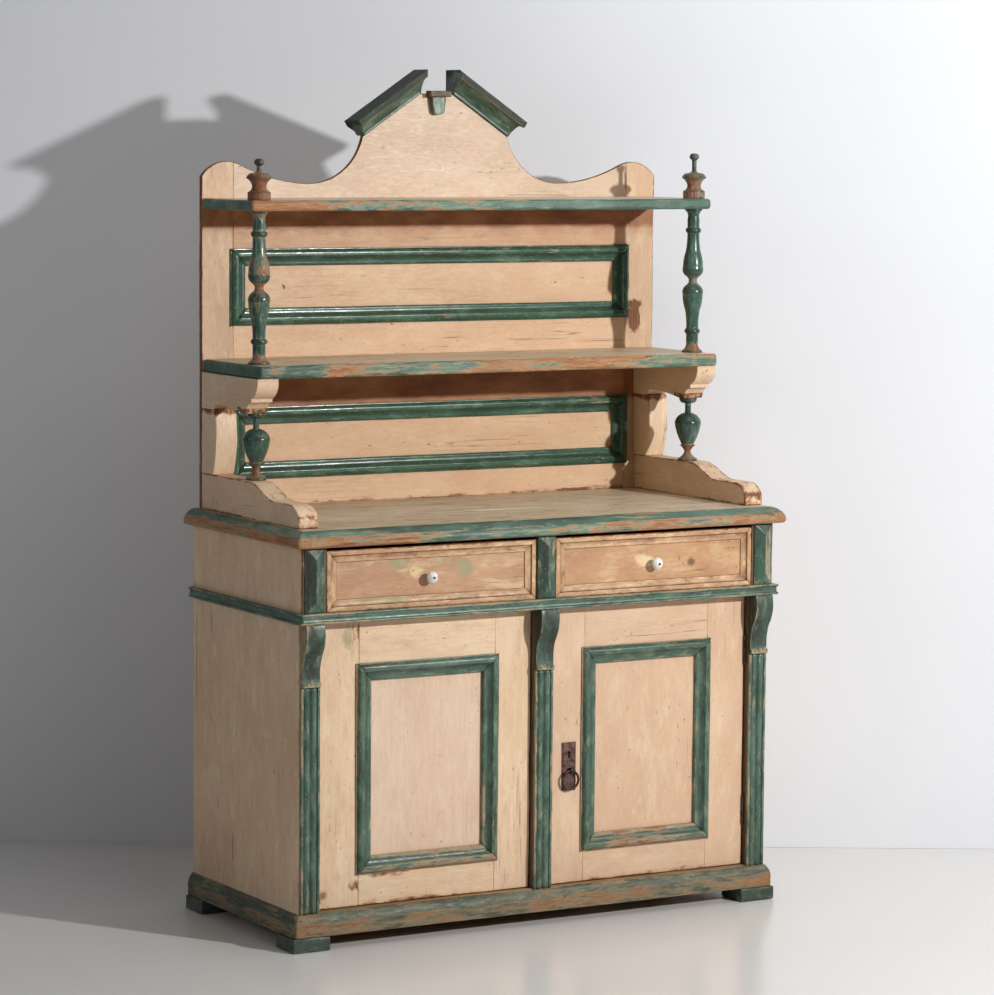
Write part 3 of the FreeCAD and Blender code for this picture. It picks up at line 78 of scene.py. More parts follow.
def board(along, ends, a, b, r=1.6, step=9.0, seed=0, wander=0.3, extra=(), free="uUaAbB"):
    # a board with its grain on one axis: at each place along it the section is a rectangle between two edges
    # on each of the next two axes, with round corners and round ends; free names the sides open to rubbing
    low, high = ends
    turn, arc = np.radians([90.0, 60.0, 30.0]), np.radians([30.0, 60.0])
    flat, extra = low + r + ladder(high - low - 2 * r, step), np.asarray(extra, float)
    flat = np.unique(np.concatenate([flat, extra[(extra > low + r) & (extra < high - r)]]))
    head, pull = r * (1 - np.sin(turn)), r * (1 - np.cos(turn))
    u = np.concatenate([[low, low], low + head, flat, high - head[::-1], [high, high]])
    inset = np.concatenate([[r + 9, r + 3], pull, 0 * flat, pull[::-1], [r + 3, r + 9]])
    a0, a1, b0, b1 = (reading(edge, u) + wander * sway(u, seed * 7 + k) for k, edge in enumerate((*a, *b)))
    thin = np.maximum(np.minimum(a1 - a0, b1 - b0), 0.3)
    inset = np.minimum(inset, 0.4 * thin)
    c = np.clip(r * (1 + 0.6 * sway(u * 2.3, seed * 7 + 5)), 0.4 * r, 2.0 * r)  # radius of the rubbed corners
    c = np.clip(np.minimum(c - inset, 0.3 * thin), 0.05, None)
    lowA, highA, lowB, highB = a0 + inset, a1 - inset, b0 + inset, b1 - inset
    partA, partB = (ladder(wide, step) / wide for wide in (np.max(a1 - a0), np.max(b1 - b0)))
    sides = ((lowA + c, highA - c, lowB, lowB, partA, highA - c, lowB + c),
             (highA, highA, lowB + c, highB - c, partB, highA - c, highB - c),
             (highA - c, lowA + c, highB, highB, partA, lowA + c, highB - c),
             (lowA, lowA, highB - c, lowB + c, partB, lowA + c, lowB + c))
    acrossA, acrossB = [], []
    for k, (fromA, toA, fromB, toB, part, midA, midB) in enumerate(sides):  # a flat side, then the corner after it
        angle = (k - 1) * np.pi / 2 + arc
        acrossA += [fromA[:, None] + part * (toA - fromA)[:, None], midA[:, None] + c[:, None] * np.cos(angle)]
        acrossB += [fromB[:, None] + part * (toB - fromB)[:, None], midB[:, None] + c[:, None] * np.sin(angle)]
    acrossA, acrossB, u = np.concatenate(acrossA, 1), np.concatenate(acrossB, 1), u[:, None]
    a0, a1, b0, b1 = (line[:, None] for line in (a0, a1, b0, b1))
    gaps = (u - low, high - u, acrossA - a0, a1 - acrossA, acrossB - b0, b1 - acrossB)
    gaps = [np.abs(gap) if side in free else 500.0 for side, gap in zip("uUaAbB", gaps)]
    nearest = grid(*(np.minimum(*gaps[k:k + 2]) for k in (0, 2, 4)))
    wood = grid(u, acrossA, acrossB)
    return {"points": np.roll(wood, along, -1), "wood": wood + woodShift(seed), "edge": np.median(nearest, -1)}


def trace(corners, step, closed=True):
    # a fine line through (across, up) corners; a third number bows the next stretch by that much to its left
    spots = np.array([corner[:2] for corner in corners], float)
    pieces = []
    for k in range(len(corners) - (not closed)):
        start, stop = spots[k], spots[(k + 1) % len(corners)]
        chord = np.hypot(*(stop - start))
        count = max(1, int(np.ceil(chord / step)))
        part = np.arange(count) / count
        line = start + (stop - start) * part[:, None]
        if len(corners[k]) == 3:
            bow = corners[k][2]
            radius = (chord ** 2 / 4 + bow ** 2) / (2 * abs(bow))
            half = 2 * math.atan(2 * abs(bow) / chord)
            angle = -half + 2 * half * part
            forward = (stop - start) / chord
            left = np.array([-forward[1], forward[0]])
            rise = (radius * np.cos(angle) - radius + abs(bow)) * np.sign(bow)
            line = (start + stop) / 2 + forward * (radius * np.sin(angle))[:, None] + left * rise[:, None]
        pieces.append(line)
    return np.concatenate(pieces if closed else pieces + [spots[-1:]])


def ease(line, rounds, closed):  # softens corners: each point moves half way to the middle of its neighbours
    for _ in range(rounds):
        softer = (line + (np.roll(line, 1, 0) + np.roll(line, -1, 0)) / 2) / 2
        if not closed:
            softer[0], softer[-1] = line[0], line[-1]
        line = softer
    return line


def softened(corners, step, rounds=2, closed=True):
    return ease(trace(corners, step, closed), rounds, closed)


def climbing(values):  # never falling, as np.interp needs it
    return np.maximum.accumulate(values + np.arange(len(values)) * 1e-4)


def crown(line, closed=True):  # how far each point stands out of its neighbours, about -1 to 1
    tangent = np.roll(line, -1, 0) - np.roll(line, 1, 0)
    normal = np.stack([tangent[:, 1], -tangent[:, 0]], -1)
    normal /= np.maximum(np.hypot(normal[:, 0], normal[:, 1]), 1e-6)[:, None]
    area = np.sum(line[:, 0] * np.roll(line[:, 1], -1) - line[:, 1] * np.roll(line[:, 0], -1))
    out = np.sum((line - ease(line, 18, closed)) * normal, 1) * (np.sign(area) if closed else 1.0)
    return np.clip(out / 0.55, -1, 1)


def stick(profile, origin, ways, length, mitres=(0, 0), seed=0, step=8.0, wander=0.2):
    # a profile of (across, out) points carried along a straight line; a mitred end is cut back by its across
    part = np.linspace(0, 1, max(3, int(length / step)) + 1)[:, None]
    cut = np.clip(profile[:, 0], 0, None)
    begin, end = cut * mitres[0], length - cut * mitres[1]
    t = begin + part * (end - begin)
    calm = wander * np.clip(np.minimum(t - begin, end - t) / 40, 0, 1)  # the mitres stay true
    out = profile[:, 1] + calm * sway(t, seed * 5 + 1)
    across = profile[:, 0] + calm * sway(t, seed * 5 + 2)
    points = np.array(origin, float)
    for way, places in zip(ways, (t, across, out)):
        points = points + places[..., None] * np.array(way, float)
    return {"points": points, "wood": grid(t, across, out) + woodShift(seed), "edge": 60.0,
            "ridge": crown(profile), "across": across}


def mitredFrame(xs, zs, face, profile, seed):  # four sticks round an upright opening, standing out to the front
    (left, right), (low, high) = xs, zs
    runs = ((left, low, 1, 0, right - left), (right, low, 0, 1, high - low),
            (right, high, -1, 0, right - left), (left, high, 0, -1, high - low))
    return [stick(profile, (x, face, z), ((dx, 0, dz), (-dz, 0, dx), (0, -1, 0)), length, (1, 1), seed + k)
            for k, (x, z, dx, dz, length) in enumerate(runs, 1)]


def threeSides(front, outside, bottom, rear, profile, seed):  # sticks round the front and both ends of the case
    runs = ((-outside, front, 1, 0, 2 * outside, (1, 1)), (outside, front, 0, 1, rear - front, (1, 0)),
            (-outside, rear, 0, -1, rear - front, (0, 1)))
    return [stick(profile, (x, y, bottom), ((dx, dy, 0), (-dy, dx, 0), (0, 0, 1)), length, mitres, seed + k)
            for k, (x, y, dx, dy, length, mitres) in enumerate(runs, 1)]


def lathe(profile, centre, seed, segments=48, axis=2):
    # a profile of (height, radius) points turned about an axis, a little out of round
    height, radius = profile[:, :1], np.maximum(profile[:, 1:], 0.3)
    angle = np.linspace(0, 2 * np.pi, segments, endpoint=False)
    across = radius + 0.12 * np.sin(2 * angle + seed) * np.minimum(1, radius / 12)
    turned = grid(height, across * np.cos(angle), across * np.sin(angle))
    ridge = crown(np.concatenate([-radius, height], 1), False)[:, None]
    return {"points": np.roll(turned, axis, -1) + centre, "wood": turned + woodShift(seed),
            "edge": 60.0, "ridge": ridge}


def patches(shell, spots, plane, reach=9.0, axis=1):
    # soft lumps on a face across one axis, each (place, height, half width, half height, strength)
    places, total = axesOf(shell), 0.0
    for place, high, wide, tall, strength in spots:  # where lumps meet, the highest counts
        off = [(places[1 - axis] - place) / wide, (places[axis] - plane) / reach, (places[2] - high) / tall]
        total = np.maximum(total, strength * np.clip(1 - np.linalg.norm(off, axis=0), 0, 1) ** 0.5)
    return total


layerWords = ("edge", "ridge", "chip", "stain", "zone", "ghost")


def skin(shell, start):  # quads over a grid of stations by section, closed round, with a flat face at each end
    n, m = shell["points"].shape[:2]
    flat, index = shell["points"].reshape(-1, 3), np.arange(n * m).reshape(n, m)
    low, high = index[:-1], index[1:]
    quads = np.stack([low, np.roll(low, -1, 1), np.roll(high, -1, 1), high], -1).reshape(-1, 4)
    caps = [index[0][::-1], index[-1]]
    first, second, third = (flat - flat.mean(0))[np.concatenate([quads[:, [0, 1, 2]], quads[:, [0, 2, 3]]]).T]
    if np.sum(first * np.cross(second, third)) < 0:  # inside out, so every face is turned
        quads, caps = quads[:, ::-1], [cap[::-1] for cap in caps]
    layers = {word: np.broadcast_to(np.asarray(shell.get(word, 0.0), float), (n, m)).ravel() for word in layerWords}
    return dict(layers, points=flat * mm, wood=shell["wood"].reshape(-1, 3) * mm,
                corners=np.concatenate([quads.ravel(), *caps]) + start,
                totals=np.concatenate([np.full(len(quads), 4), [m, m]]),
                slots=np.full(len(quads) + 2, shell.get("finish", 0)))


def makePiece(name, shells, node, coats, body="case"):
    # one object from its shells, riding on its body and standing for its node
    parts, start = [], 0
    for shell in shells:
        parts.append(skin(shell, start))
        start += len(parts[-1]["points"])
    whole = {word: np.concatenate([part[word] for part in parts]) for word in parts[0]}
    mesh, totals = bpy.data.meshes.new(name), whole["totals"]
    mesh.vertices.add(start)
    mesh.vertices.foreach_set("co", whole["points"].ravel())
    mesh.loops.add(len(whole["corners"]))
    mesh.loops.foreach_set("vertex_index", whole["corners"].astype(np.int32))
    mesh.polygons.add(len(totals))
    faces = {"loop_start": np.cumsum(totals) - totals, "loop_total": totals, "material_index": whole["slots"]}
    for word, values in faces.items():
        mesh.polygons.foreach_set(word, values.astype(np.int32))
    mesh.polygons.foreach_set("use_smooth", totals == 4)  # the end faces stay flat
    mesh.update(calc_edges=True)
    for word in layerWords:
        mesh.attributes.new(word, "FLOAT", "POINT").data.foreach_set("value", whole[word])
    mesh.attributes.new("wood", "FLOAT_VECTOR", "POINT").data.foreach_set("vector", whole["wood"].ravel())
    for coat in coats.split():
        mesh.materials.append(finishes[coat])
    piece = bpy.data.objects.new(name, mesh)
    scene.collection.objects.link(piece)
    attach(piece, body)
    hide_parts(node)
    print("made", name, start, "points")


# Finishes: layered paint over pine, worn at edges and crests, with grain along each board
def tint(red, green, blue):  # a colour as seen on screen, 0 to 255, turned into light
    values = np.array([red, green, blue]) / 255.0
    light = np.where(values <= 0.04045, values / 12.92, ((values + 0.055) / 1.055) ** 2.4)
    return (*light.tolist(), 1.0)


shadePlaces = {2: (0.3, 0.7), 3: (0.3, 0.5, 0.7), 4: (0.3, 0.48, 0.63, 0.78)}


def shades(*colours, places=None):  # stops of a colour ramp
    return [(place, tint(*colour)) for place, colour in zip(places or shadePlaces[len(colours)], colours)]


class NodeBench:  # short ways to add nodes to one material
    def __init__(self, name):
        self.material = bpy.data.materials.new(name)
        self.material.use_nodes = True
        self.tree = self.material.node_tree
        self.shader = self.tree.nodes["Principled BSDF"]

    def add(self, kind, values=(), **options):
        made = self.tree.nodes.new(kind)
        for word, option in options.items():
            setattr(made, word, option)
        for key, value in dict(values).items():
            self.feed(made.inputs[key], value)
        return made

    def feed(self, socket, value):
        if isinstance(value, bpy.types.NodeSocket):
            self.tree.links.new(value, socket)
        else:
            socket.default_value = value

    def dress(self, values):  # the shader's own sockets
        for word, value in values.items():
            self.feed(self.shader.inputs[word], value)
        return self.material

    def place(self):
        return self.add("ShaderNodeTexCoord").outputs["Object"]

    def reach(self, word):
        made = self.add("ShaderNodeAttribute", attribute_name=word)
        return made.outputs["Vector"] if word == "wood" else made.outputs["Fac"]

    def scaled(self, vector, scale):
        return self.add("ShaderNodeMapping", {"Vector": vector, "Scale": scale}).outputs[0]

    def noise(self, vector, scale, detail, rough=0.55, bent=0.0):
        values = {"Vector": vector, "Scale": scale, "Detail": detail, "Roughness": rough, "Distortion": bent}
        return self.add("ShaderNodeTexNoise", values).outputs["Fac"]

    def calc(self, kind, first, second=0.0):
        return self.add("ShaderNodeMath", {0: first, 1: second}, operation=kind).outputs[0]

    def step(self, value, low, high, bottom=0.0, top=1.0):
        values = {"Value": value, "From Min": low, "From Max": high, "To Min": bottom, "To Max": top}
        return self.add("ShaderNodeMapRange", values, interpolation_type="SMOOTHSTEP").outputs[0]

    def blend(self, part, first, second):
        return self.add("ShaderNodeMix", {0: part, 6: first, 7: second}, data_type="RGBA").outputs[2]

    def ramp(self, value, stops):
        made = self.add("ShaderNodeValToRGB", {"Fac": value})
        spots = made.color_ramp.elements
        spots[0].position, spots[0].color = stops[0]
        spots[1].position, spots[1].color = stops[-1]
        for place, colour in stops[1:-1]:
            spots.new(place).color = colour
        return made.outputs["Color"]

    def bump(self, height, strength, depth):
        return self.add("ShaderNodeBump", {"Height": height, "Strength": strength, "Distance": depth}).outputs[0]


def paintFinish(name, look):
    # coat over primer over wood: a wear value from noise, edges, crests and placed chips picks the layer
    bench = NodeBench(name)
    step = bench.step
    plus, minus, times, largest = (partial(bench.calc, kind) for kind in ("ADD", "SUBTRACT", "MULTIPLY", "MAXIMUM"))
    wood, edge, ridge, chip, stain, ghost = map(bench.reach, ("wood", "edge", "ridge", "chip", "stain", "ghost"))

    def noise(along, *values):  # stretched along the grain
        return bench.noise(bench.scaled(wood, (along, 1, 1)), *values)

    def centred(value, part):
        return times(minus(value, 0.5), part)

    def over(mask, paint):  # the next layer
        nonlocal colour
        colour = bench.blend(mask, colour, paint)

    tone = noise(look["toneStretch"], look["toneScale"], 4, 0.6)
    streak = noise(0.035, 190, 3, 0.6)
    cloud = noise(0.5, 38, 6, 0.65)
    fine = noise(0.25, 210, 4, 0.7)
    mottle = noise(0.4, look["mottleScale"], 5, 0.62)
    base = noise(look["chipStretch"], look["chipScale"], 8, 0.74)
    spread = bench.noise(wood, 6, 2, 0.5)
    colour = bench.ramp(tone, look["coat"])
    over(step(cloud, 0.36, 0.7, 0, look["cloud"]), look["cloudColour"])
    over(step(streak, 0.35, 0.75, 0, look["streak"]), look["streakColour"])
    over(step(mottle, 0.47, 0.34, 0, look["mottle"]), look["mottleDark"])
    over(step(mottle, 0.53, 0.66, 0, look["mottle"]), look["mottleLight"])
    over(step(fine, 0.48, 0.72, 0, look["dust"]), look["mottleDark"])
    over(step(fine, 0.5, 0.3, 0, look["dust"]), look["mottleLight"])
    if "edgeCoat" in look:  # another coat where the zone says so, with a border as soft as the look asks; on the tall back it is painted shadow under the shelves
        ragged = plus(bench.reach("zone"), centred(cloud, 0.9))
        second = bench.ramp(plus(tone, centred(mottle, 0.8)), look["edgeCoat"])
        over(step(ragged, 0.5 - look["soft"], 0.5 + look["soft"]), second)
    over(step(plus(ghost, centred(base, 2.4)), 0.3, 0.9, 0, 0.68), tint(146, 155, 114))  # old green paint
    atEdge = bench.calc("POWER", 2.718, times(edge, -1.0 / look["edgeReach"]))
    wear = plus(centred(base, 1.6), centred(spread, look["spread"]))
    for cause, part in ((atEdge, look["edgeWear"]), (ridge, look["ridgeWear"]), (chip, 0.75)):
        wear = plus(wear, times(cause, part))
    wear = minus(wear, look["hold"])
    primer, bare = step(wear, 0.0, 0.03), step(wear, look["primerBand"], look["primerBand"] + 0.05)
    over(step(wear, -look["thinBand"], 0.0, 0, look["thin"]), look["thinColour"])
    over(primer, bench.ramp(fine, look["primer"]))
    over(bare, bench.ramp(noise(0.06, 260, 4, 0.6), look["wood"]))
    over(step(noise(0.55, 290, 2, 0.6), look["dotFrom"], look["dotFrom"] + 0.04, 0, 0.8), look["dotColour"])
    specks = plus(plus(noise(0.45, 120, 4, 0.65), times(atEdge, 0.05)), centred(spread, 0.16))
    specks = step(specks, look["speckFrom"], look["speckFrom"] + 0.03)
    hairs = step(bench.calc("ABSOLUTE", centred(noise(0.016, 95, 2, 0.5), 1.0)), 0.02, 0.006)
    hairs = times(hairs, step(noise(0.15, 16, 3), 0.58, 0.66))
    dark = largest(specks, times(hairs, look["crack"]))
    # the stain layer takes the dirt colour: real stains, and painted shade where a piece puts shade in it
    marks = step(plus(stain, centred(cloud, 0.9)), 0.38, 0.7)
    over(times(largest(dark, marks), 0.75), look["dirt"])
    over(step(minus(centred(cloud, 0.8), ridge), 0.1, 0.7, 0, look["hollowDirt"]), look["dirt"])
    up = bench.add("ShaderNodeSeparateXYZ", {0: bench.place()}).outputs[2]
    over(step(plus(up, centred(cloud, 0.25)), 0.22, 0.03, 0, look["damp"]), look["dirt"])
    rough = plus(step(fine, 0.3, 0.7, look["gloss"], look["gloss"] + 0.16), times(largest(primer, marks), 0.34))
    height = minus(plus(times(streak, 0.35), times(cloud, 0.5)), times(primer, 0.35))
    height = minus(height, times(plus(dark, bare), 0.3))
    return bench.dress({"Base Color": colour, "Roughness": bench.calc("MINIMUM", rough, 0.85),
                        "Normal": bench.bump(height, 0.5, 0.0011)})


looks, finishes = {}, {}


def newPaint(word, base=None, **changes):  # a look, all its own or a change of another, and its finish
    colours = {key: tint(*value) for key, value in changes.items() if isinstance(value, tuple)}
    looks[word] = {**looks.get(base, {}), **changes, **colours}
    finishes[word] = paintFinish(word + "_paint_aged", looks[word])


newPaint("cream", coat=shades((212, 180, 146), (224, 195, 162), (231, 206, 174)), toneScale=9, toneStretch=0.4,
    streak=0.36, streakColour=(208, 176, 140), cloud=0.36, cloudColour=(221, 181, 153),
    mottle=0.46, mottleScale=30, mottleDark=(208, 168, 140), mottleLight=(236, 217, 180), dust=0.3,
    dotFrom=0.69, dotColour=(160, 116, 84), spread=0.35, edgeReach=3.0, edgeWear=0.3, ridgeWear=0.2, hold=0.38,
    chipStretch=0.4, chipScale=70, thin=0.4, thinBand=0.06, thinColour=(196, 160, 126), primerBand=0.12,
    primer=shades((176, 126, 94), (204, 160, 126)), wood=shades((94, 60, 40), (146, 100, 68)),
    speckFrom=0.685, crack=0.75, dirt=(88, 58, 38), hollowDirt=0.4, damp=0.18, gloss=0.42)
newPaint("green", coat=shades((36, 66, 52), (48, 86, 68), (66, 106, 84), (112, 142, 114)), toneScale=24,
    toneStretch=0.25, streak=0.45, streakColour=(42, 76, 64), cloud=0.3, cloudColour=(80, 116, 98),
    mottle=0.5, mottleScale=52, mottleDark=(44, 72, 60), mottleLight=(112, 142, 122), dust=0.3,
    dotFrom=0.69, dotColour=(186, 184, 158), spread=0.5, edgeReach=3.5, edgeWear=0.26, ridgeWear=0.12, hold=0.33,
    chipStretch=0.22, chipScale=90, thin=0.7, thinBand=0.1, thinColour=(130, 136, 110), primerBand=0.09,
    primer=shades((164, 124, 98), (182, 156, 130)), wood=shades((120, 78, 52), (178, 122, 82)),
    speckFrom=0.66, crack=0.4, dirt=(40, 36, 28), hollowDirt=0.45, damp=0.35, gloss=0.18)
newPaint("worn", "green", coat=shades((44, 70, 58), (65, 97, 82), (86, 117, 101), (132, 151, 132)),
    streakColour=(52, 78, 66), cloudColour=(96, 116, 98), mottle=0.65, mottleDark=(44, 58, 46),
    mottleLight=(124, 142, 120), primer=shades((140, 120, 96), (176, 158, 128)), thinColour=(132, 132, 106),
    primerBand=0.24, gloss=0.3, dotFrom=0.68)
newPaint("turned", "green", coat=shades((36, 58, 50), (48, 76, 66), (60, 92, 80), (98, 128, 112)),
    cloudColour=(66, 94, 84), primer=shades((138, 98, 76), (160, 130, 104)), wood=shades((104, 64, 44), (154, 98, 66)))
newPaint("deep", "worn", coat=shades((34, 56, 46), (50, 80, 66), (66, 98, 82), (112, 130, 108)),
    cloudColour=(76, 94, 78))
newPaint("base", "worn", coat=shades((46, 60, 44), (66, 84, 62), (90, 100, 74), (132, 130, 96)),
    mottleDark=(60, 56, 42), mottleLight=(146, 142, 110), cloudColour=(112, 106, 82),
    primer=shades((136, 120, 98), (180, 152, 118)), wood=shades((134, 92, 58), (194, 144, 92)),
    streakColour=(84, 82, 62), hold=0.29, gloss=0.46, chipStretch=0.12, primerBand=0.12)
# the back's second coat, deep brown where the zone says so, is painted shadow under the shelves; the under and stile
# looks carry it too
newPaint("back", "cream", coat=shades((206, 165, 127), (220, 182, 146), (229, 195, 160)), mottle=0.35,
    cloudColour=(214, 170, 134), mottleDark=(208, 162, 124), mottleLight=(232, 202, 164), soft=0.4,
    edgeCoat=shades((126, 74, 38), (150, 96, 54), (172, 120, 76)))
newPaint("under", "back", coat=shades((180, 136, 98), (195, 151, 112), (206, 166, 128)), cloudColour=(196, 148, 108),
    mottleLight=(212, 174, 134))
newPaint("stile", "back", coat=shades((184, 150, 119), (198, 166, 135), (210, 180, 149)))
newPaint("crest", "cream", coat=shades((190, 164, 139), (204, 179, 154), (218, 196, 174)), mottle=0.3,
    mottleDark=(200, 172, 148), mottleLight=(229, 209, 185))
newPaint("pale", "cream", coat=shades((220, 190, 154), (232, 204, 170), (238, 214, 184)))
newPaint("panel", "cream", coat=shades((213, 183, 156), (223, 195, 169), (230, 205, 181)), mottle=0.4,
    mottleDark=(208, 174, 152), mottleLight=(232, 210, 184), cloudColour=(216, 180, 160))
newPaint("warm", "cream", coat=shades((204, 168, 138), (215, 181, 151), (225, 196, 167)), mottle=0.36,
    mottleLight=(230, 206, 174))
newPaint("drawer", "cream", coat=shades((166, 126, 92), (188, 148, 112), (204, 168, 130)), toneScale=12,
    toneStretch=0.6, mottle=0.6, streak=0.14, mottleDark=(172, 122, 94), mottleLight=(220, 190, 148), mottleScale=26,
    cloud=0.6, cloudColour=(194, 142, 112), speckFrom=0.67, hold=0.35, dust=0.22, soft=0.1,
    edgeCoat=shades((204, 170, 122), (222, 194, 148), (234, 212, 174)))
newPaint("tawny", "drawer", coat=shades((168, 122, 80), (190, 145, 101), (206, 164, 120)), mottle=0.4)
newPaint("frame", "drawer", coat=shades((172, 128, 92), (198, 156, 114), (220, 186, 144)), hold=0.29, mottle=0.75,
    mottleDark=(140, 98, 68), mottleLight=(228, 200, 156), mottleScale=80, edgeWear=0.3, ridgeWear=0.16,
    hollowDirt=0.7, thinColour=(218, 190, 148), chipScale=110)
newPaint("ledge", "cream", coat=shades((192, 176, 146), (222, 207, 178), (234, 220, 196)), toneStretch=0.12,
    mottleDark=(156, 134, 108), mottleLight=(220, 204, 172), mottle=0.6, streak=0.65, streakColour=(156, 138, 110),
    edgeCoat=looks["worn"]["coat"], soft=0.08, ridgeWear=0.08, edgeWear=0.12, hold=0.36, dotFrom=0.66,
    speckFrom=0.66, gloss=0.4, damp=0.0, chipStretch=0.14, chipScale=90, thinColour=(140, 150, 122), thin=0.7,
    thinBand=0.1, primerBand=0.1, primer=shades((160, 118, 88), (190, 152, 116)),
    wood=shades((132, 86, 56), (188, 134, 92)), crack=1.0)


def pineFinish(name, light, deep, along):  # bare pine: rings seen as stretched waves along one axis, with fine fibres
    bench = NodeBench(name)
    place = bench.place()
    rings = bench.scaled(place, tuple(0.9 if axis == along else 14.0 for axis in range(3)))
    fibre = bench.noise(rings, 22.0, 4, 0.65)
    colour = bench.ramp(bench.noise(rings, 3.0, 5, 0.55, 0.6), shades(deep, light, places=(0.35, 0.62)))
    colour = bench.blend(bench.step(fibre, 0.45, 0.75, 0, 0.45), colour, tint(*deep))
    colour = bench.blend(bench.step(bench.noise(place, 5.0, 5, 0.6), 0.48, 0.75, 0, 0.6), colour, tint(66, 46, 32))
    return bench.dress({"Base Color": colour, "Roughness": bench.step(fibre, 0.3, 0.7, 0.62, 0.85),
                        "Normal": bench.bump(fibre, 0.4, 0.001)})


def ironFinish(name, *colours):  # rubbed iron with brown rust clouds and fine pits: dark, middle and rust
    bench = NodeBench(name)
    cloud, pits = bench.noise(bench.place(), 90, 6, 0.65), bench.noise(bench.place(), 700, 3, 0.6)
    return bench.dress({"Base Color": bench.ramp(cloud, shades(*colours, places=(0.32, 0.52, 0.7))),
                        "Metallic": bench.step(cloud, 0.4, 0.62, 0.85, 0.25),
                        "Roughness": bench.step(pits, 0.3, 0.7, 0.38, 0.62), "Normal": bench.bump(pits, 0.35, 0.0004)})


def porcelainFinish(name, cracks, width, depth):  # glazed white, yellowed in clouds, with a grey crackle
    bench = NodeBench(name)
    cells = bench.add("ShaderNodeTexVoronoi", {"Vector": bench.place(), "Scale": cracks}, feature="DISTANCE_TO_EDGE")
    cloud = bench.noise(bench.place(), 120, 4, 0.6)
    colour = bench.ramp(cloud, shades((224, 221, 212), (246, 244, 238), places=(0.35, 0.6)))
    colour = bench.blend(bench.step(cells.outputs["Distance"], width, 0.0, 0, depth), colour, tint(112, 100, 86))
    return bench.dress({"Base Color": colour, "Roughness": bench.step(cloud, 0.3, 0.7, 0.1, 0.25)})


barePine = ((176, 134, 92), (124, 84, 52))
finishes.update(
    pineUp=pineFinish("bare_pine_upright", *barePine, 2), pineAcross=pineFinish("bare_pine_across", *barePine, 0),
    pineDeep=pineFinish("bare_pine_deep", *barePine, 1),
    # dark pine for the strips seen in the gaps: darker paint, and painted shade inside the gaps
    pineDark=pineFinish("stained_pine_upright", (112, 88, 62), (72, 54, 36), 2),
    iron=ironFinish("old_iron", (60, 48, 46), (104, 78, 70), (126, 90, 72)),
    greyIron=ironFinish("grey_iron", (66, 68, 66), (92, 94, 90), (108, 100, 88)),
    # lockShade is near black: painted shade inside the keyhole
    lockShade=ironFinish("lock_shade", (14, 11, 9), (22, 17, 14), (32, 25, 20)),
    darkIron=ironFinish("dark_iron", (40, 34, 30), (62, 50, 42), (84, 62, 46)),
    rightKnob=porcelainFinish("knob_porcelain", 260.0, 0.03, 0.3),
    leftKnob=porcelainFinish("cracked_porcelain", 190.0, 0.09, 0.8))
print("finishes ready")

# Case
footSizes = {"x": (-598, 512), "y": (-249, 192), "wide": 86, "deep": 82, "dirt": 0.45}
caseSizes = {"half": 580.0, "board": 22.0, "front": -250.0, "lowFront": -231.0, "back": 274.0, "waist": 685.0,
             "top": 844.0, "foot": 29.0}
sideMarks = [(80, 190, 4.5, 190, 0.8), (80, 560, 4.5, 90, 0.5), (-120, 360, 6, 12, 0.8), (60, 420, 7, 10, 0.8),
             (-60, 470, 8, 14, 0.6), (150, 250, 30, 60, 0.4)]
foot, waist, counterFoot, rear = (caseSizes[word] for word in ("foot", "waist", "top", "back"))
shells = [dict(board(0, (x, x + footSizes["wide"]), (y, y + footSizes["deep"]), (0, foot), r=2.2, seed=k, wander=0.5),
               stain=footSizes["dirt"])
          for k, (x, y) in enumerate([(x, y) for x in footSizes["x"] for y in footSizes["y"]])]
makePiece("paintedFeet", shells, "feet", "deep")
sideFront = lambda z: np.where(z < waist, caseSizes["lowFront"], caseSizes["front"])
for word, x0 in (("left", -caseSizes["half"]), ("right", caseSizes["half"] - caseSizes["board"])):
    shell = board(2, (foot, counterFoot), (x0, x0 + caseSizes["board"]), (sideFront, rear), r=1.5, step=7,
                  seed=11 + len(word), extra=(waist - 0.1, waist + 0.1))
    x, y, z = axesOf(shell)
    # the front edge is rubbed to the wood, more above the waist; there the dark wood is also painted shade along the
    # edge
    rubbed = np.interp(y, [-252, -244, -236, -226], [0.75, 0.6, 0.2, 0.0]) * (y < -222)
    shell["chip"] = rubbed * np.where(z < waist + 5, 0.8, 1.0)
    shell["stain"] = patches(shell, sideMarks, x0, 30, 0)
    makePiece(word + "PaintedSide", [shell], word + "_side", "cream")

# Counter: rings of its outline, from under the middle over the thumb-moulded edge to the middle of the top
counterSizes = {"half": 602.0, "front": -274.0, "back": 274.0, "top": 880.0, "corner": 6.0, "counts": (66, 150, 60)}
low, high = counterFoot, counterSizes["top"]
edgeLine = [(60, low), (8, low, 2.34), (0, low + 8), (0, low + 12, 6.2), (30, high), (60, high)]
edgeLine = np.concatenate([[(220, low), (120, low)], softened(edgeLine, 1.5, 1, False),
                           [(inset, high) for inset in (80, 110, 145, 185, 225)]])


def outlineRing(inset):  # one turn round the counter, with the back edge square until well inside
    half, front = counterSizes["half"] - inset, counterSizes["front"] + inset
    back = counterSizes["back"] - max(0.0, inset - 40.0)
    c = max(0.6, counterSizes["corner"] - inset * 0.15)
    bend = np.linspace(0, np.pi / 2, 6)[1:-1]
    sideCount, frontCount, rearCount = counterSizes["counts"]
    return np.concatenate([
        grid(-half, np.linspace(back, front + c, sideCount)),
        grid(-half + c - c * np.cos(bend), front + c - c * np.sin(bend)),
        grid(np.linspace(-half + c, half - c, frontCount), front),
        grid(half - c + c * np.sin(bend), front + c - c * np.cos(bend)),
        grid(half, np.linspace(front + c, back, sideCount)),
        grid(np.linspace(half, -half, rearCount)[1:-1], back)])


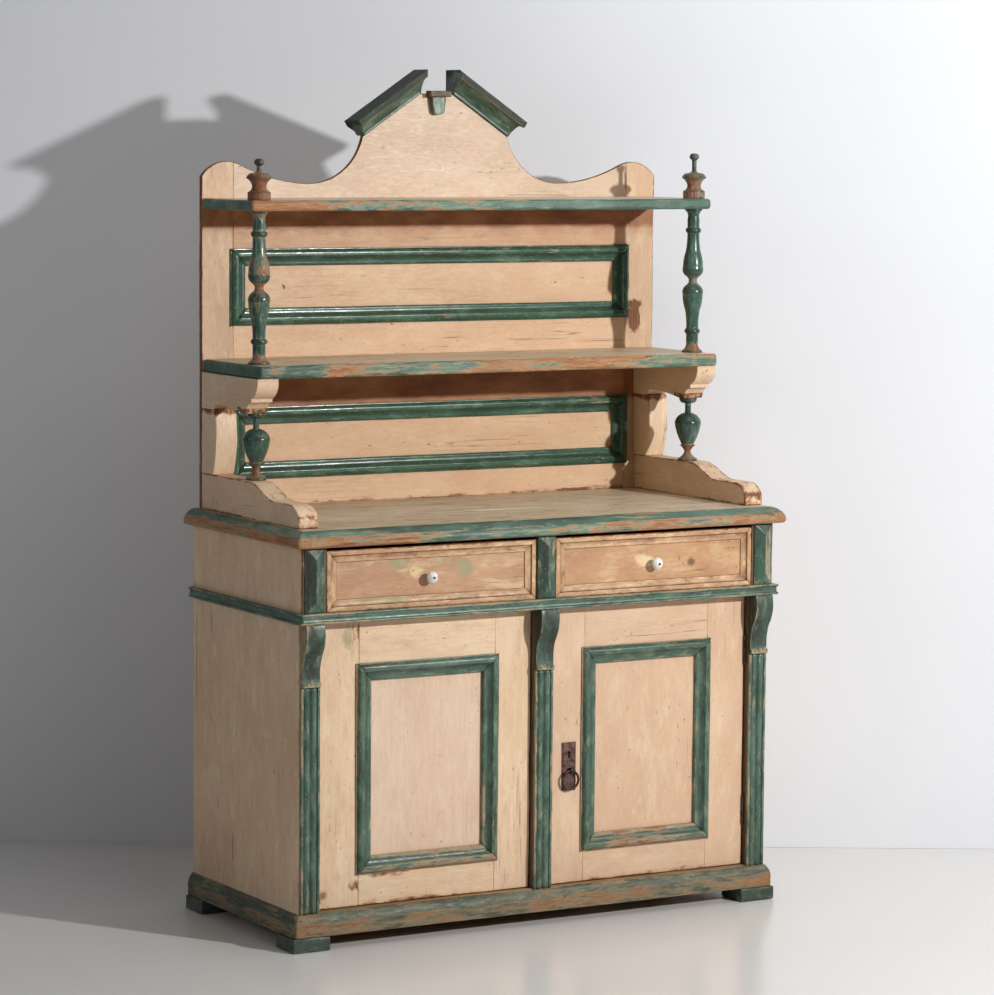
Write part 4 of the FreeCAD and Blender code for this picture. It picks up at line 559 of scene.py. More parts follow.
rings = np.stack([outlineRing(inset) for inset in edgeLine[:, 0]])
inset, level, along = edgeLine[:, :1], edgeLine[:, 1:], rings[..., 0]
level = level + 0.4 * sway(along, 61) * (level > 870)
points = grid(along, rings[..., 1], level)
lowBand = np.clip((868.5 - level) / 2, 0, 1) * (inset < 40)  # the round lower half of the edge is rubbed to the wood
below = lowBand * np.interp(along, [-600, -330, -250, 80, 200, 420, 600], [0.7, 0.66, 0.5, 0.48, 0.56, 0.68, 0.72])
above = (inset < 34) * np.interp(along, [-600, -400, -100, 250, 500, 600], [0.28, 0.32, 0.24, 0.3, 0.3, 0.4])
grain = np.where((np.abs(along) > 573)[..., None], points[..., [1, 0, 2]], points)  # at the ends it runs to the back
counter = {"points": points, "wood": grain + woodShift(62), "edge": 60.0,
           "chip": np.where(lowBand > 0.3, below, above),
           "ridge": np.clip(crown(edgeLine, False), -0.2, 0.5)[:, None], "zone": np.clip((30 - inset) / 10, 0, 1)}
makePiece("paintedCounter", [counter], "counter_top", "ledge")

# Base and waist mouldings, mitred round three sides
baseSizes, waistSizes = {"front": -243.5, "outside": 592.5}, {"front": -261.0, "outside": 591.0}
baseProfile = softened([(0, 0), (12.5, 0), (12.5, 50, -3.3), (0, 23)], 1.2)
sticks = threeSides(baseSizes["front"], baseSizes["outside"], foot, rear, baseProfile, 70)
for shell in sticks:  # the ledge is rubbed grey, the round band under it to the wood, more in front than on the sides
    x, y, z = axesOf(shell)
    rubbed = np.interp(z, [29, 36, 44, 56, 62, 79], [0.3, 0.4, 0.48, 0.36, 0.18, 0.18])
    shell["chip"] = rubbed * np.where(y < -228, 1.0, 0.85)
makePiece("paintedBase", sticks, "base_moulding", "base")
waistProfile = softened([(11, 0), (11, 23), (2.6, 23, -2.3), (2.6, 17.4), (4, 17), (2.9, 16.2, 0.9),
                         (2.9, 6.4), (4, 5.8), (2.6, 5.4, -2.2), (2.6, 0)], 0.6, 1)
sticks = threeSides(waistSizes["front"], waistSizes["outside"], waist, rear, waistProfile, 80)
for shell in sticks:  # both beads are rubbed in front, the hollow keeps its green
    x, y, z = axesOf(shell)
    rubbed = np.interp(z, [685, 688, 691, 693, 701, 703, 706, 708], [0.22, 0.18, 0.1, 0.0, 0.0, 0.2, 0.28, 0.32])
    shell["chip"] = rubbed * np.where(y < -246, 1.0, 0.3)
    shell["ridge"] = np.clip(shell["ridge"], -0.15, 1)
makePiece("paintedWaist", sticks, "waist_moulding", "worn")

# Pilasters, corbels and hipped blocks
pilasterSizes = {"middles": (-554.0, 6.0, 554.0), "half": 22.0, "bottom": 79.0, "top": 553.0}
face, half, bottom, top = caseSizes["lowFront"], *(pilasterSizes[word] for word in ("half", "bottom", "top"))
pilasterProfile = softened([(-half, 0), (half, 0), (half, 7), (16.5, 7), (15.5, 4, -3.4), (0.9, 4), (-0.9, 4, -3.4),
                            (-15.5, 4), (-16.5, 7), (-half, 7)], 0.9)
corbelLine = trace([(244, top), (244, top + 10), (240, top + 10), (240, top + 10.3, 5), (248, 619, -8),
                    (259, waist)], 1.0, False)
corbelFront = lambda z: -np.interp(z, climbing(corbelLine[:, 1]), corbelLine[:, 0])
pilasters, corbels = [], []
for k, middle in enumerate(pilasterSizes["middles"]):
    ways = ((0, 0, 1), (1, 0, 0), (0, -1, 0))
    shell = stick(pilasterProfile, (middle, face, bottom), ways, top - bottom, seed=90 + k)
    off = shell["points"][..., 0] - middle
    shell["chip"] = np.interp(off, [-22, -19, -15, 15, 19, 22], [0.34, 0.3, 0.08, 0.05, 0.2, 0.28])
    pilasters.append(shell)
    shell = board(2, (top, waist), (middle - half, middle + half), (corbelFront, face), r=1.2, step=5, seed=100 + k,
                  extra=(top + 9.9, top + 10.1, top + 10.4))
    x, y, z = axesOf(shell)  # the left arris and the foot fillet are rubbed; the left cheek is bare on the left corbel and darkened as painted shade on the middle and right ones
    off, cheek = x - middle, x - middle < -20.9
    arris = np.maximum(np.interp(off, [-22, -19, -12], [0.24, 0.16, 0.0]), 0.4 * (z < 566)) * (y < -236)
    shell["chip"] = np.maximum(arris, 0.52 * cheek * (k == 0))
    shell["stain"] = np.where(cheek, 0.75 * (k > 0), 0.54 * (off > -18) * (z > 570))
    corbels.append(shell)
makePiece("paintedPilasters", pilasters, "pilasters", "worn")
makePiece("paintedCorbels", corbels, "corbels", "deep")
blockSizes = {"middleZ": 776.0, "halfTall": 68.0, "edge": 3.0, "rise": 9.0}


def hippedShell(middle, width, seed, rubbed, dark):
    # rings of a rectangle stepping in from its outline while the face rises to a ridge
    slope, middleZ = np.linspace(0.6, width / 2 - 1, 14), blockSizes["middleZ"]
    insets = np.concatenate([[0, 0, 0], slope])[:, None]
    rises = blockSizes["edge"] + blockSizes["rise"] * slope / (width / 2 - 1)
    rises = np.concatenate([[0, 1.5, 2.6], rises])[:, None]
    part = np.linspace(-1, 1, 24)[:-1]
    side = np.concatenate([grid(part, -1), grid(1, part), grid(-part, 1), grid(-1, -part)])
    halfWide, halfTall = width / 2 - insets, blockSizes["halfTall"] - insets
    points = grid(middle + side[:, 0] * halfWide, caseSizes["front"] - rises, middleZ + side[:, 1] * halfTall)
    across, high = (points[..., 0] - middle) / halfWide, (points[..., 2] - middleZ) / halfTall
    inner = np.clip((insets - 1) / 4, 0, 1)
    chip = rubbed * (across > np.abs(high) + 0.02) * inner + 0.26 * (high > np.abs(across) + 0.02) * inner
    # dark paints shade on the left facet, the one turned away from the light
    return {"points": points, "wood": np.roll(points, 1, -1) + woodShift(seed), "edge": insets + 1.5, "chip": chip,
            "stain": dark * (across < -np.abs(high)) * (insets > 2)}


# the last number is the painted shade on the left facet, deepest on the left block
shells = [hippedShell(*row) for row in ((-553, 46, 110, 0.16, 0.8), (0, 44, 111, 0.34, 0.5), (553, 46, 112, 0.44, 0.3))]
makePiece("paintedHippedBlocks", shells, "hipped_blocks", "deep")

# Doors
doorSizes = {"face": -219.0, "back": -197.0, "bottom": 81.0, "top": 683.0, "foot": 154.0, "head": 585.0, "tongue": 8.0}
# the first mark, at the keyhole, is painted shade; the rest are dirt marks
doorMarksAndKeyholeShade = [(79, 366, 7, 13, 2.0), (-440, 400, 6, 10, 0.8), (-440, 330, 5, 12, 0.7), (-500, 250, 8, 22, 0.6),
             (-470, 130, 20, 10, 0.6), (-512, 110, 14, 16, 0.8), (60, 520, 6, 9, 0.7), (-60, 300, 7, 12, 0.6),
             (100, 430, 6, 14, 0.7), (480, 640, 5, 26, 0.6), (505, 500, 6, 12, 0.6), (-30, 500, 5, 20, 0.5)]
doorGhosts = [(-458, 650, 20, 34, 1.0), (-424, 658, 12, 26, 0.8), (-446, 610, 10, 26, 0.6)]
stileChips = [(-449, 646, 22, 34, 0.6), (-436, 668, 26, 12, 0.55), (-478, 560, 8, 40, 0.5), (-515, 100, 14, 26, 0.6),
              (-440, 120, 26, 16, 0.6)]
railChips = [(-370, 143, 90, 12, 0.6), (-300, 85, 240, 8, 0.5), (300, 86, 240, 10, 0.5)]
bolectionProfile = softened([(0, 0), (0, 3.5), (3.5, 3.5, 2.5), (12, 11), (17, 11, -2.5), (30, 2), (34.5, 2, 1.2),
                             (38, -3.5), (38, -7), (8, -7), (8, 0)], 0.9)
face, bottom, top, tongue = (doorSizes[word] for word in ("face", "bottom", "top", "tongue"))
thick, panelHigh = (face, doorSizes["back"]), (doorSizes["foot"] - tongue, doorSizes["head"] + tongue)
for word, seed, coat, panelCoat, hingeStile, lockStile, opening in (
        ("left", 120, "pale", "panel", (-529, -432), (-105, -18), (-432, -105)),
        ("right", 150, "warm", "warm", (432, 529), (30, 117), (117, 432))):
    node, body = word + "_door_", word + "_door"
    stiles = [board(2, (bottom, top), wide, thick, seed=seed + k, step=7)
              for k, wide in enumerate((hingeStile, lockStile), 1)]
    for shell in stiles:
        shell["stain"], shell["ghost"] = patches(shell, doorMarksAndKeyholeShade, face), patches(shell, doorGhosts, face)
        shell["chip"] = patches(shell, stileChips, face)
    if word == "right":  # a near-black sheet behind the keyhole: painted shade where the stile has no hole
        stiles.append(dict(board(0, (70, 88), (face - 0.4, face + 3), (350, 381), r=0.2, seed=178), finish=1))
    makePiece(word + "DoorPaintedStiles", stiles, node + "stiles", coat + " lockShade", body)
    rails = [board(0, opening, thick, tall, seed=seed + k, step=7, free="abB")
             for k, tall in enumerate(((bottom, doorSizes["foot"]), (doorSizes["head"], top)), 3)]
    for shell in rails:
        shell["chip"] = patches(shell, railChips, face)
    makePiece(word + "DoorPaintedRails", rails, node + "rails", coat, body)
    panelWide = (opening[0] - tongue, opening[1] + tongue)
    panel = board(2, panelHigh, panelWide, (face + 7, face + 16), r=0.8, seed=seed + 5, step=7, free="")
    makePiece(word + "DoorPaintedPanel", [panel], node + "panel", panelCoat, body)
    sticks = mitredFrame(panelWide, panelHigh, face, bolectionProfile, seed + 10)
    for shell, fillet, whole in zip(sticks, (0.31, 0.32, 0.3, 0.5), (0.42, 0, 0, 0)):
        # the outer fillet is rubbed, most on the left, and all of the lowest stick
        shell["chip"] = fillet * (shell["across"] < 4.2) + 0.16 * (shell["across"] > 31) + whole
    makePiece(word + "DoorPaintedMoulding", sticks, node + "moulding", "worn", body)

# Drawers
drawerSizes = {"face": -243.0, "back": -225.0, "bottom": 708.3, "top": 835.0, "knob": 769.3}
drawerProfile = softened([(0, 0), (0, 7), (10, 7), (10, 5, -1), (21, 2), (25, 2), (25, 0)], 0.8)
knobProfile = softened([(0, 0.3), (0, 6.5), (9, 6.3, 1.2), (17, 13.5, 1.6), (26.2, 3.5), (26.2, 0.3)], 0.6, 3, False)
screwProfile = softened([(24.5, 0.3), (24.5, 3), (26.8, 3, 0.4), (27.6, 1.4), (27, 0.3)], 0.4, 2, False)
oldPaint = {"left": [(-194, 783, 26, 32, 1.1), (-242, 800, 34, 14, 0.8), (-349, 800, 60, 18, 0.8),
                     (-400, 726, 110, 11, 0.85), (-240, 727, 90, 8, 0.6), (-420, 765, 40, 10, 0.5)],
            "right": [(300, 790, 60, 12, 0.3)]}
paleRub = {"left": [(-312, 778, 36, 26, 0.6), (-470, 770, 18, 50, 0.4), (-120, 740, 50, 14, 0.5)],
           "right": [(254, 776, 40, 30, 0.7), (150, 735, 70, 12, 0.5), (350, 730, 90, 10, 0.5)]}
oldMarks = {"left": [(-322, 762, 5, 5, 1), (-316, 786, 5, 5, 1), (-95, 765, 4, 5, 1), (-262, 728, 14, 5, 0.7)],
            "right": [(371, 766, 17, 17, 0.75), (342, 775, 6, 16, 0.7), (440, 795, 6, 5, 1), (268, 742, 30, 8, 0.6)]}
face, tall = drawerSizes["face"], (drawerSizes["bottom"], drawerSizes["top"])
for word, seed, coat, wide, knobX in (("left", 180, "drawer", (-523.5, -25.0), -281.75),
                                      ("right", 200, "tawny", (25.0, 523.5), 274.25)):
    node, body = word + "_drawer_", word + "_drawer"
    front = board(0, wide, (face, drawerSizes["back"]), tall, seed=seed, step=7, free="")
    for layer, spots in (("ghost", oldPaint), ("stain", oldMarks), ("zone", paleRub)):
        front[layer] = patches(front, spots[word], face, 20)
    makePiece(word + "DrawerPaintedFront", [front], node + "front", coat, body)
    sticks = mitredFrame(wide, tall, face, drawerProfile, seed + 1)
    for shell in sticks:  # dirt and painted shade darken the quirk and the inner edge
        shell["stain"] = 0.62 * (np.abs(shell["across"] - 10.3) < 0.9) + 0.7 * (shell["across"] > 23.8)
        shell["chip"] = np.interp(shell["across"], [0, 3, 8], [0.34, 0.24, 0.12])
        shell["ghost"] = patches(shell, oldPaint[word], face, 20)
    makePiece(word + "DrawerPaintedMoulding", sticks, node + "moulding", "frame", body)
    screw = dict(lathe(screwProfile, (0, 0, 0), seed + 9, 24, 1), finish=1)
    knob = [lathe(knobProfile, (0, 0, 0), seed + 8, 40, 1), screw]
    for shell in knob:  # turned to the front and set on the drawer
        shell["points"] = shell["points"] * (1, -1, 1) + (knobX, face, drawerSizes["knob"])
    makePiece(word + "DrawerGlazedKnob", knob, node + "knob", word + "Knob greyIron", body)

# Tall back
backSizes = {"front": 244.5, "panelFront": 251.5, "panelBack": 260.5, "bevel": 257.0, "half": 498.0, "outside": 573.0,
             "panelHalf": 506.0, "crestFoot": 1432.0, "crestSeam": 1530.0, "earTop": 1627.9}
earX, earZ, earR = 513.0, 1555.0, 73.0  # the round ears
dipX, dipZ, coveR, tipX, crestTop, gap = 313.0, 1580.5, 134.0, 182.5, 1777.7, 41.0  # the crest's outline
panelNicks = [(-372, 1355, 5, 9, 1), (-240, 1384, 5, 9, 1), (-142, 1354, 6, 13, 0.6), (387, 1367, 10, 4, 1),
              (440, 1380, 6, 6, 0.7), (-37, 993, 5, 4, 1)]
boardNicks = [(142, 1224, 5, 9, 1), (60, 1231, 4, 8, 1), (221, 1477, 5, 5, 0.7), (148, 1604, 95, 7, 0.62),
              (-133, 1657, 14, 16, 0.55), (496, 1590, 5, 45, 0.8), (-60, 1650, 30, 4, 0.5)]
bigChips = [(523, 1271, 21, 42, 1.3), (523, 1304, 27, 14, 1.1)]
backFace, panelFace, half = backSizes["front"], backSizes["panelFront"], backSizes["half"]
backDepth, backWide, panelWide = (backFace, rear), (-half, half), (-backSizes["panelHalf"], backSizes["panelHalf"])
panelDepth = (panelFace, backSizes["panelBack"])
railHighs, panelHighs = ((1088, 1281), (880, 946)), ((938, 1096), (1273, 1440))


def nicks(shell):
    return np.maximum(patches(shell, panelNicks, panelFace), patches(shell, boardNicks, backFace))


def paintedShadowUnderShelf(shell):  # painted shadow: dark brown that fades downward from each shelf
    x, y, z = axesOf(shell)
    upper = np.interp(z, [1440, 1478, 1490, 1526, 1527], [0, 0.45, 1.0, 1.25, 0])
    return np.where(y < 262, np.maximum(upper, np.interp(z, [1040, 1088, 1096, 1176, 1177], [0, 0.4, 1.0, 1.2, 0])), 0)


def behind(shell):  # how far the rear arris is planed away
    return 0.8 * np.clip(shell["points"][..., 1] - backSizes["bevel"], 0, None)


earRise = lambda z: np.sqrt(np.clip(earR ** 2 - np.clip(z - earZ, 0, earR) ** 2, 0, None))
inner = lambda z: np.maximum(half, earX - earRise(z))
outer = lambda z: np.minimum(backSizes["outside"], earX + earRise(z))
shells = [board(2, (counterSizes["top"], backSizes["earTop"]), edges, backDepth, seed=seed, step=8,
                extra=earZ + earR * np.sin(np.linspace(0.55, 1.5, 40)))
          for seed, edges in ((221, (lambda z: -outer(z), lambda z: -inner(z))), (220, (inner, outer)))]
for shell in shells:
    x, y, z = axesOf(shell)
    far = np.abs(x)
    rim = (far > 571.4) | (np.hypot(far - earX, np.clip(z - earZ, 0, None)) > 71.4)
    shell["stain"], shell["zone"] = nicks(shell), paintedShadowUnderShelf(shell)
    shell["chip"] = np.maximum(0.85 * rim, patches(shell, bigChips, backFace))
    thinner = 1 - behind(shell) / 70
    x *= np.where(far > earX, (earX + (far - earX) * thinner) / far, 1)
    z[:] = np.where(z > earZ, earZ + (z - earZ) * thinner, z)
makePiece("paintedBackStiles", shells, "back_stiles", "stile")
sweep = ((earX - dipX) ** 2 + (dipZ - earZ) ** 2 - earR ** 2) / (2 * (earR - (dipZ - earZ)))
meetX = earX + earR / (sweep + earR) * (dipX - earX)
xEar, xSweep = np.linspace(half, meetX, 40), np.linspace(meetX, dipX, 40)[1:]
angle = np.linspace(0, math.asin((dipX - tipX) / coveR), 40)[1:]
halfTop = np.concatenate([grid(xEar, earZ + np.sqrt(earR ** 2 - (xEar - earX) ** 2)),
                          grid(xSweep, dipZ + sweep - np.sqrt(sweep ** 2 - (xSweep - dipX) ** 2)),
                          grid(dipX - coveR * np.sin(angle), dipZ + coveR - coveR * np.cos(angle)),
                          [(gap, crestTop), (0, crestTop)]])
tipZ = halfTop[-3, 1]
crestLine = np.concatenate([halfTop * [-1, 1], halfTop[::-1][1:]])
crestEdge = lambda x: np.interp(x, crestLine[:, 0], crestLine[:, 1])
seam = backSizes["crestSeam"]
crest = board(0, backWide, backDepth, (seam, crestEdge), seed=230, step=8, extra=crestLine[:, 0], free="abB")
lowCrest = board(0, backWide, backDepth, (backSizes["crestFoot"], seam), seed=229, step=8, free="")
lowCrest.update(stain=nicks(lowCrest), zone=paintedShadowUnderShelf(lowCrest), finish=1)
x, y, z = axesOf(crest)
crest.update(stain=nicks(crest), chip=0.85 * (z > crestEdge(x) - 1.4))
planed = behind(crest)
z -= planed * np.clip((np.abs(x) - 186) / 12, 0, 1) * np.clip((z - seam) / (crestEdge(x) - seam), 0, 1)
x -= np.sign(x) * planed * np.interp(np.abs(x), [90, 200, 270, 330], [0, 1, 1, 0]) * np.clip((z - 1526) / 40, 0, 1)
makePiece("paintedCrest", [crest, lowCrest], "crest_board", "crest under")
rails = [board(0, backWide, backDepth, tall, seed=231 + k, free="") for k, tall in enumerate(railHighs)]
for shell in rails:
    shell.update(stain=nicks(shell), zone=paintedShadowUnderShelf(shell), chip=0.5 * (shell["points"][..., 2] < 886))
makePiece("paintedBackRails", rails, "back_rails", "back")
panels = [board(0, panelWide, panelDepth, tall, r=0.8, seed=233 + k, free="") for k, tall in enumerate(panelHighs)]
for shell in panels:
    shell["stain"] = nicks(shell)
makePiece("paintedBackPanels", panels, "back_panels", "back")
frames = [mitredFrame(panelWide, tall, backFace, bolectionProfile, 240 + 10 * k) for k, tall in enumerate(panelHighs)]
makePiece("paintedBackMouldings", frames[0] + frames[1], "back_panel_mouldings", "green")

# Raking cornices: the profile runs up the slope and is cut off plumb at the gap
rakeSizes = {"angle": math.radians(33.5), "beyond": 9.0, "fascia": 30.0}
rakeProfile = softened([(29.5, 0), (29.5, 44), (-36, 44), (-36, rakeSizes["fascia"]), (-32, rakeSizes["fascia"], 4),
                        (-6, 6), (-6, 0)], 1.0)


def rakeShell(side, seed, dark):
    # each profile point runs from the lower end, where the fascia overhangs, to the plumb cut
    lean, rise = math.cos(rakeSizes["angle"]), math.sin(rakeSizes["angle"])
    out, up = rakeProfile.T
    begin = -rakeSizes["beyond"] * (up > rakeSizes["fascia"] - 0.6)
    end = (tipX - gap + up * rise) / lean
    t = begin + np.linspace(0, 1, 34)[:, None] * (end - begin)
    high = up + 0.25 * sway(t, seed)
    points = grid(side * (tipX - t * lean + high * rise), backFace + out, tipZ + t * rise + high * lean)
    return {"points": points, "wood": grid(t, out, high) + woodShift(seed), "edge": 60.0, "ridge": crown(rakeProfile),
            "stain": dark * (up > rakeSizes["fascia"] + 0.5), "chip": 0.36 * (np.abs(up - rakeSizes["fascia"]) < 1.6)}


makePiece("paintedRakes", [rakeShell(-1, 260, 1.0), rakeShell(1, 261, 0.8)], "raking_cornices", "worn")
keySizes = {"foot": 1731.2, "round": 1738.2, "neck": 1770.2, "top": 1784.2, "half": 13.0, "flare": 4.0}
keyFoot, keyRound, keyNeck = (keySizes[word] for word in ("foot", "round", "neck"))


def keystoneHalf(z):  # a round foot, then sides that spread upward
    foot = keySizes["half"] * np.sqrt(np.clip(1 - ((keyRound - z) / 7) ** 2, 0.02, 1))
    return np.where(z < keyRound, foot, keySizes["half"] + keySizes["flare"] * np.clip(z - keyRound, 0, 32) / 32)


cap = board(0, (-26, 26), (backFace - 24, backFace), (keyNeck, keySizes["top"]), r=1.5, seed=265, step=6)
stem = board(2, (keyFoot, keyNeck), (lambda z: -keystoneHalf(z), keystoneHalf), (backFace - 16, backFace), r=1.2,
             seed=266, step=5, extra=(1731.6, 1732.4, 1733.4, 1735, 1736.5))
makePiece("paintedKeystone", [dict(cap, chip=0.55, stain=0.6), stem], "keystone", "worn")

# Shelves, gallery, uprights and brackets
shelfSizes = {
    "Upper": {"half": 571.5, "front": 0.5, "tall": (1526, 1549), "r": 5.5, "seed": 270,
              "rubbed": ([-571, -540, -430, -380, -200, -60, 60, 160, 571],
                         [0.62, 0.72, 0.7, 0.44, 0.36, 0.4, 0.3, 0.1, 0.04])},
    "Lower": {"half": 571.0, "front": -33.5, "tall": (1176, 1204), "r": 6.0, "seed": 271,
              "rubbed": ([-571, -535, -500, -430, -380, -300, -230, -120, 0, 60, 120, 200, 330, 400, 571],
                         [0.1, 0.5, 0.3, 0.26, 0.6, 0.56, 0.42, 0.3, 0.56, 0.6, 0.5, 0.64, 0.6, 0.34, 0.4])}}
for word, sizes in shelfSizes.items():
    half, front = sizes["half"], sizes["front"]
    shelf = board(0, (-half, half), (front, backFace), sizes["tall"], r=sizes["r"], seed=sizes["seed"])
    x, y, z = axesOf(shelf)
    inset = y - front
    shelf["zone"] = np.maximum(np.clip((10 - inset) / 8, 0, 1), np.clip((np.abs(x) - 562) / 8, 0, 1))
    shelf["chip"] = (inset < 8) * np.interp(x, *sizes["rubbed"])
    makePiece("painted" + word + "Shelf", [shelf], word.lower() + "_shelf", "ledge")
gallerySizes = {"front": -217.5, "railTop": 958.0, "fall": 30.5, "nose": 52.3, "bracketFoot": 1098.0,
                "bracketFront": -25.5, "outside": 573.0, "railInside": 527.0, "inside": 523.0}
railHigh, bracketLow, shelfFoot = gallerySizes["railTop"], gallerySizes["bracketFoot"], shelfSizes["Lower"]["tall"][0]


def railTop(y):  # flat at the back, an easy S down the slope, flat again and a round nose
    fall, nose = np.clip((6.5 - y) / 106, 0, 1), gallerySizes["nose"]
    ahead = np.clip(-173.5 - y, 0, 44)
    return railHigh - gallerySizes["fall"] * fall ** 2 * (3 - 2 * fall) - (nose - np.sqrt(nose ** 2 - ahead ** 2))


def uprightFront(z):  # one easy forward bow from the bracket down to the rail
    part = np.clip((bracketLow - z) / 140, 0, 1)
    return 179.5 + 9 * part - 44 * part * (1 - part)


bracketLine = trace([(gallerySizes["bracketFront"], shelfFoot, -10), (3.5, 1133), (3.6, 1125), (8.5, 1125, 5),
                     (30.5, 1100.5), (52.5, 1100.5, 4), (179.4, 1110), (179.6, bracketLow), (backFace, bracketLow)],
                    1.5, False)
bracketY = climbing(bracketLine[:, 0])
bracketFoot = lambda y: np.interp(y, bracketY, bracketLine[:, 1]) - 0.4 * (y < -25)
rails, uprights, brackets = [], [], []
for side in (-1, 1):
    thin, thick = (sorted((side * gallerySizes[word], side * gallerySizes["outside"]))
                   for word in ("railInside", "inside"))
    shell = board(1, (gallerySizes["front"], backFace), (counterSizes["top"], railTop), thin, r=2.2, seed=280 + side,
                  step=7, extra=np.linspace(-217, -170, 16), wander=0.5)
    x, y, z = axesOf(shell)  # chipped along the foot, on the front end and along the top
    foot, end = 0.36 * np.clip((892 - z) / 10, 0, 1), 0.46 * np.clip((-206 - y) / 10, 0, 1)
    rails.append(dict(shell, chip=np.maximum(np.maximum(foot, end), 0.4 * (z > railTop(y) - 3))))
    shell = board(2, (railHigh, bracketLow), thick, (uprightFront, backFace), r=2.0, seed=284 + side, step=6,
                  wander=0.5, free="abB")
    uprights.append(dict(shell, chip=0.8 * np.clip((shell["points"][..., 2] - 1078) / 14, 0, 1)))
    shell = board(1, (gallerySizes["bracketFront"], backFace), (bracketFoot, shelfFoot), thick, r=1.6, seed=288 + side,
                  step=7, extra=bracketY[:70], wander=0.4)
    x, y, z = axesOf(shell)  # the foot of the scroll is rubbed
    brackets.append(dict(shell, chip=0.68 * (z < 1112) * (y < 70)))
makePiece("paintedGalleryRails", rails, "gallery_rails", "cream")
makePiece("paintedUprights", uprights, "gallery_uprights", "cream")
makePiece("paintedBrackets", brackets, "shelf_brackets", "cream")

# Turned columns, finials and balusters: (height, radius) with bows
turnedSizes = {"x": 542.5, "columnY": 28.5, "balusterY": 41.5, "finialFoot": 1549.0, "pins": {-1: 72.0, 1: 86.0}}
columnProfile = softened([
    (1204, 0.3), (1204, 23.5), (1208, 23.5, -3.6), (1226, 13.7), (1246, 13.7, 4.2), (1258, 13.7, -1.05),
    (1300, 17, 1.4), (1334, 22.8, 4.2), (1356, 14), (1361, 9.4), (1369, 9.4), (1374, 14, 4.2), (1396, 22.8, 1.4),
    (1430, 17, -1.05), (1472, 13.7, 4.2), (1484, 13.7), (1504, 13.7, -3.6), (1523, 20), (1526, 20),
    (1526, 0.3)], 1.2, 2, False)
finialProfile = softened([(0, 0.3), (0, 24.5), (17, 24.5, -3.4), (31, 15.2, -2.1), (46, 27.5, 2.1), (57, 17, -2.1),
                          (62.2, 5.2), (62.2, 0.3)], 0.9, 2, False)
balusterProfile = softened([(0, 0.3), (0, 22.4), (5, 22.4, -2.5), (21, 6.8, -1.7), (35, 18), (37.5, 13.5, 2.5),
                            (87, 30, 5), (109, 6.8), (130.5, 6.8), (130.5, 11.5, 3), (142.5, 20),
                            (142.5, 0.3)], 1.0, 2, False)
columnRub = ([1204, 1222, 1240, 1300, 1345, 1380, 1400, 1440, 1500, 1526],
             np.array([0.62, 0.55, 0.16, 0.34, 0.46, 0.44, 0.5, 0.4, 0.2, 0.4]))
finialRub = ([1549, 1566, 1580, 1596, 1611], [0.72, 0.7, 0.66, 0.72, 0.5])
balusterRub = ([958, 980, 992, 996, 1000, 1070, 1090, 1100], [0.62, 0.56, 0.6, 0.4, 0.14, 0.06, 0.4, 0.4])
columns, finials, balusters = [], [], []
rightShare = [1, 1, 0.3, 0.2, 0.4, 0.5, 0.2, 0.1, 0.3, 1]  # the right column has kept more of its paint
for side, columnShare, finialShare, dark in ((-1, 1, 1.0, 0.05), (1, rightShare, 0.8, 0.34)):
    x, pin = side * turnedSizes["x"], turnedSizes["pins"][side]
    seat = (x, turnedSizes["columnY"], turnedSizes["finialFoot"])
    column = lathe(columnProfile, (x, turnedSizes["columnY"], 0), 300 + side)
    columns.append(dict(column, chip=np.interp(column["points"][..., 2], columnRub[0], columnRub[1] * columnShare)))
    finial = lathe(finialProfile, seat, 304 + side)
    finials.append(dict(finial, chip=np.interp(finial["points"][..., 2], *finialRub) * finialShare, stain=dark))
    ballProfile = [(61, 0.3), (61, 5.2), (pin, 5.2, 7), (pin + 14.8, 2.6), (pin + 14.8, 0.3)]
    finials.append(dict(lathe(softened(ballProfile, 0.9, 2, False), seat, 306 + side), finish=1))
    baluster = lathe(balusterProfile, (x, turnedSizes["balusterY"], railHigh), 308 + side)
    balusters.append(dict(baluster, chip=np.interp(baluster["points"][..., 2], *balusterRub)))
makePiece("turnedColumns", columns, "upper_columns", "turned")
makePiece("turnedFinials", finials, "finials", "turned greyIron")
makePiece("turnedBalusters", balusters, "balusters", "turned")

# Nodes that keep their own solid get a finish of their own
keptNodes = {
    "pineUp": "back_boards",
    # these strips in the gaps are darker paint and painted shade
    "pineDark": "case_stiles centre_muntin drawer_stiles",
    "pineAcross": "case_bottom drawer_rail inner_shelf left_drawer_bottom right_drawer_bottom",
    "pineDeep": "drawer_runners shelf_cleats left_drawer_box right_drawer_box",
    "iron": "lock_plate lock_case lock_bolt",
    "darkIron": "case_hinge_leaves hinge_pins left_door_hinge_leaves right_door_hinge_leaves ring_staple ring_pull"}
for finish, names in keptNodes.items():
    for name in names.split():
        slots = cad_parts[name].data.materials
        slots.clear()
        slots.append(finishes[finish])
print("kept nodes finished")

# Stage: pale floor and a plain wall, a soft key from the right front and an even fill
stageLook = {"key": 146.0, "keyAt": (1.6, -3.8, 2.17), "keySize": 0.13, "fill": 0.06, "side": 13.0, "top": 20.0,
             "wallAhead": 8.753, "wallHalf": 12.0, "wallHigh": 9.0, "floorHalf": 14.0, "floorLow": -0.0005}
cameraLook = {"at": (-4.018, -7.0043, 1.7101), "turn": (29.979, 5.7188, 0.4436), "focalPixels": 3721.37,
              "imagePixels": 995}


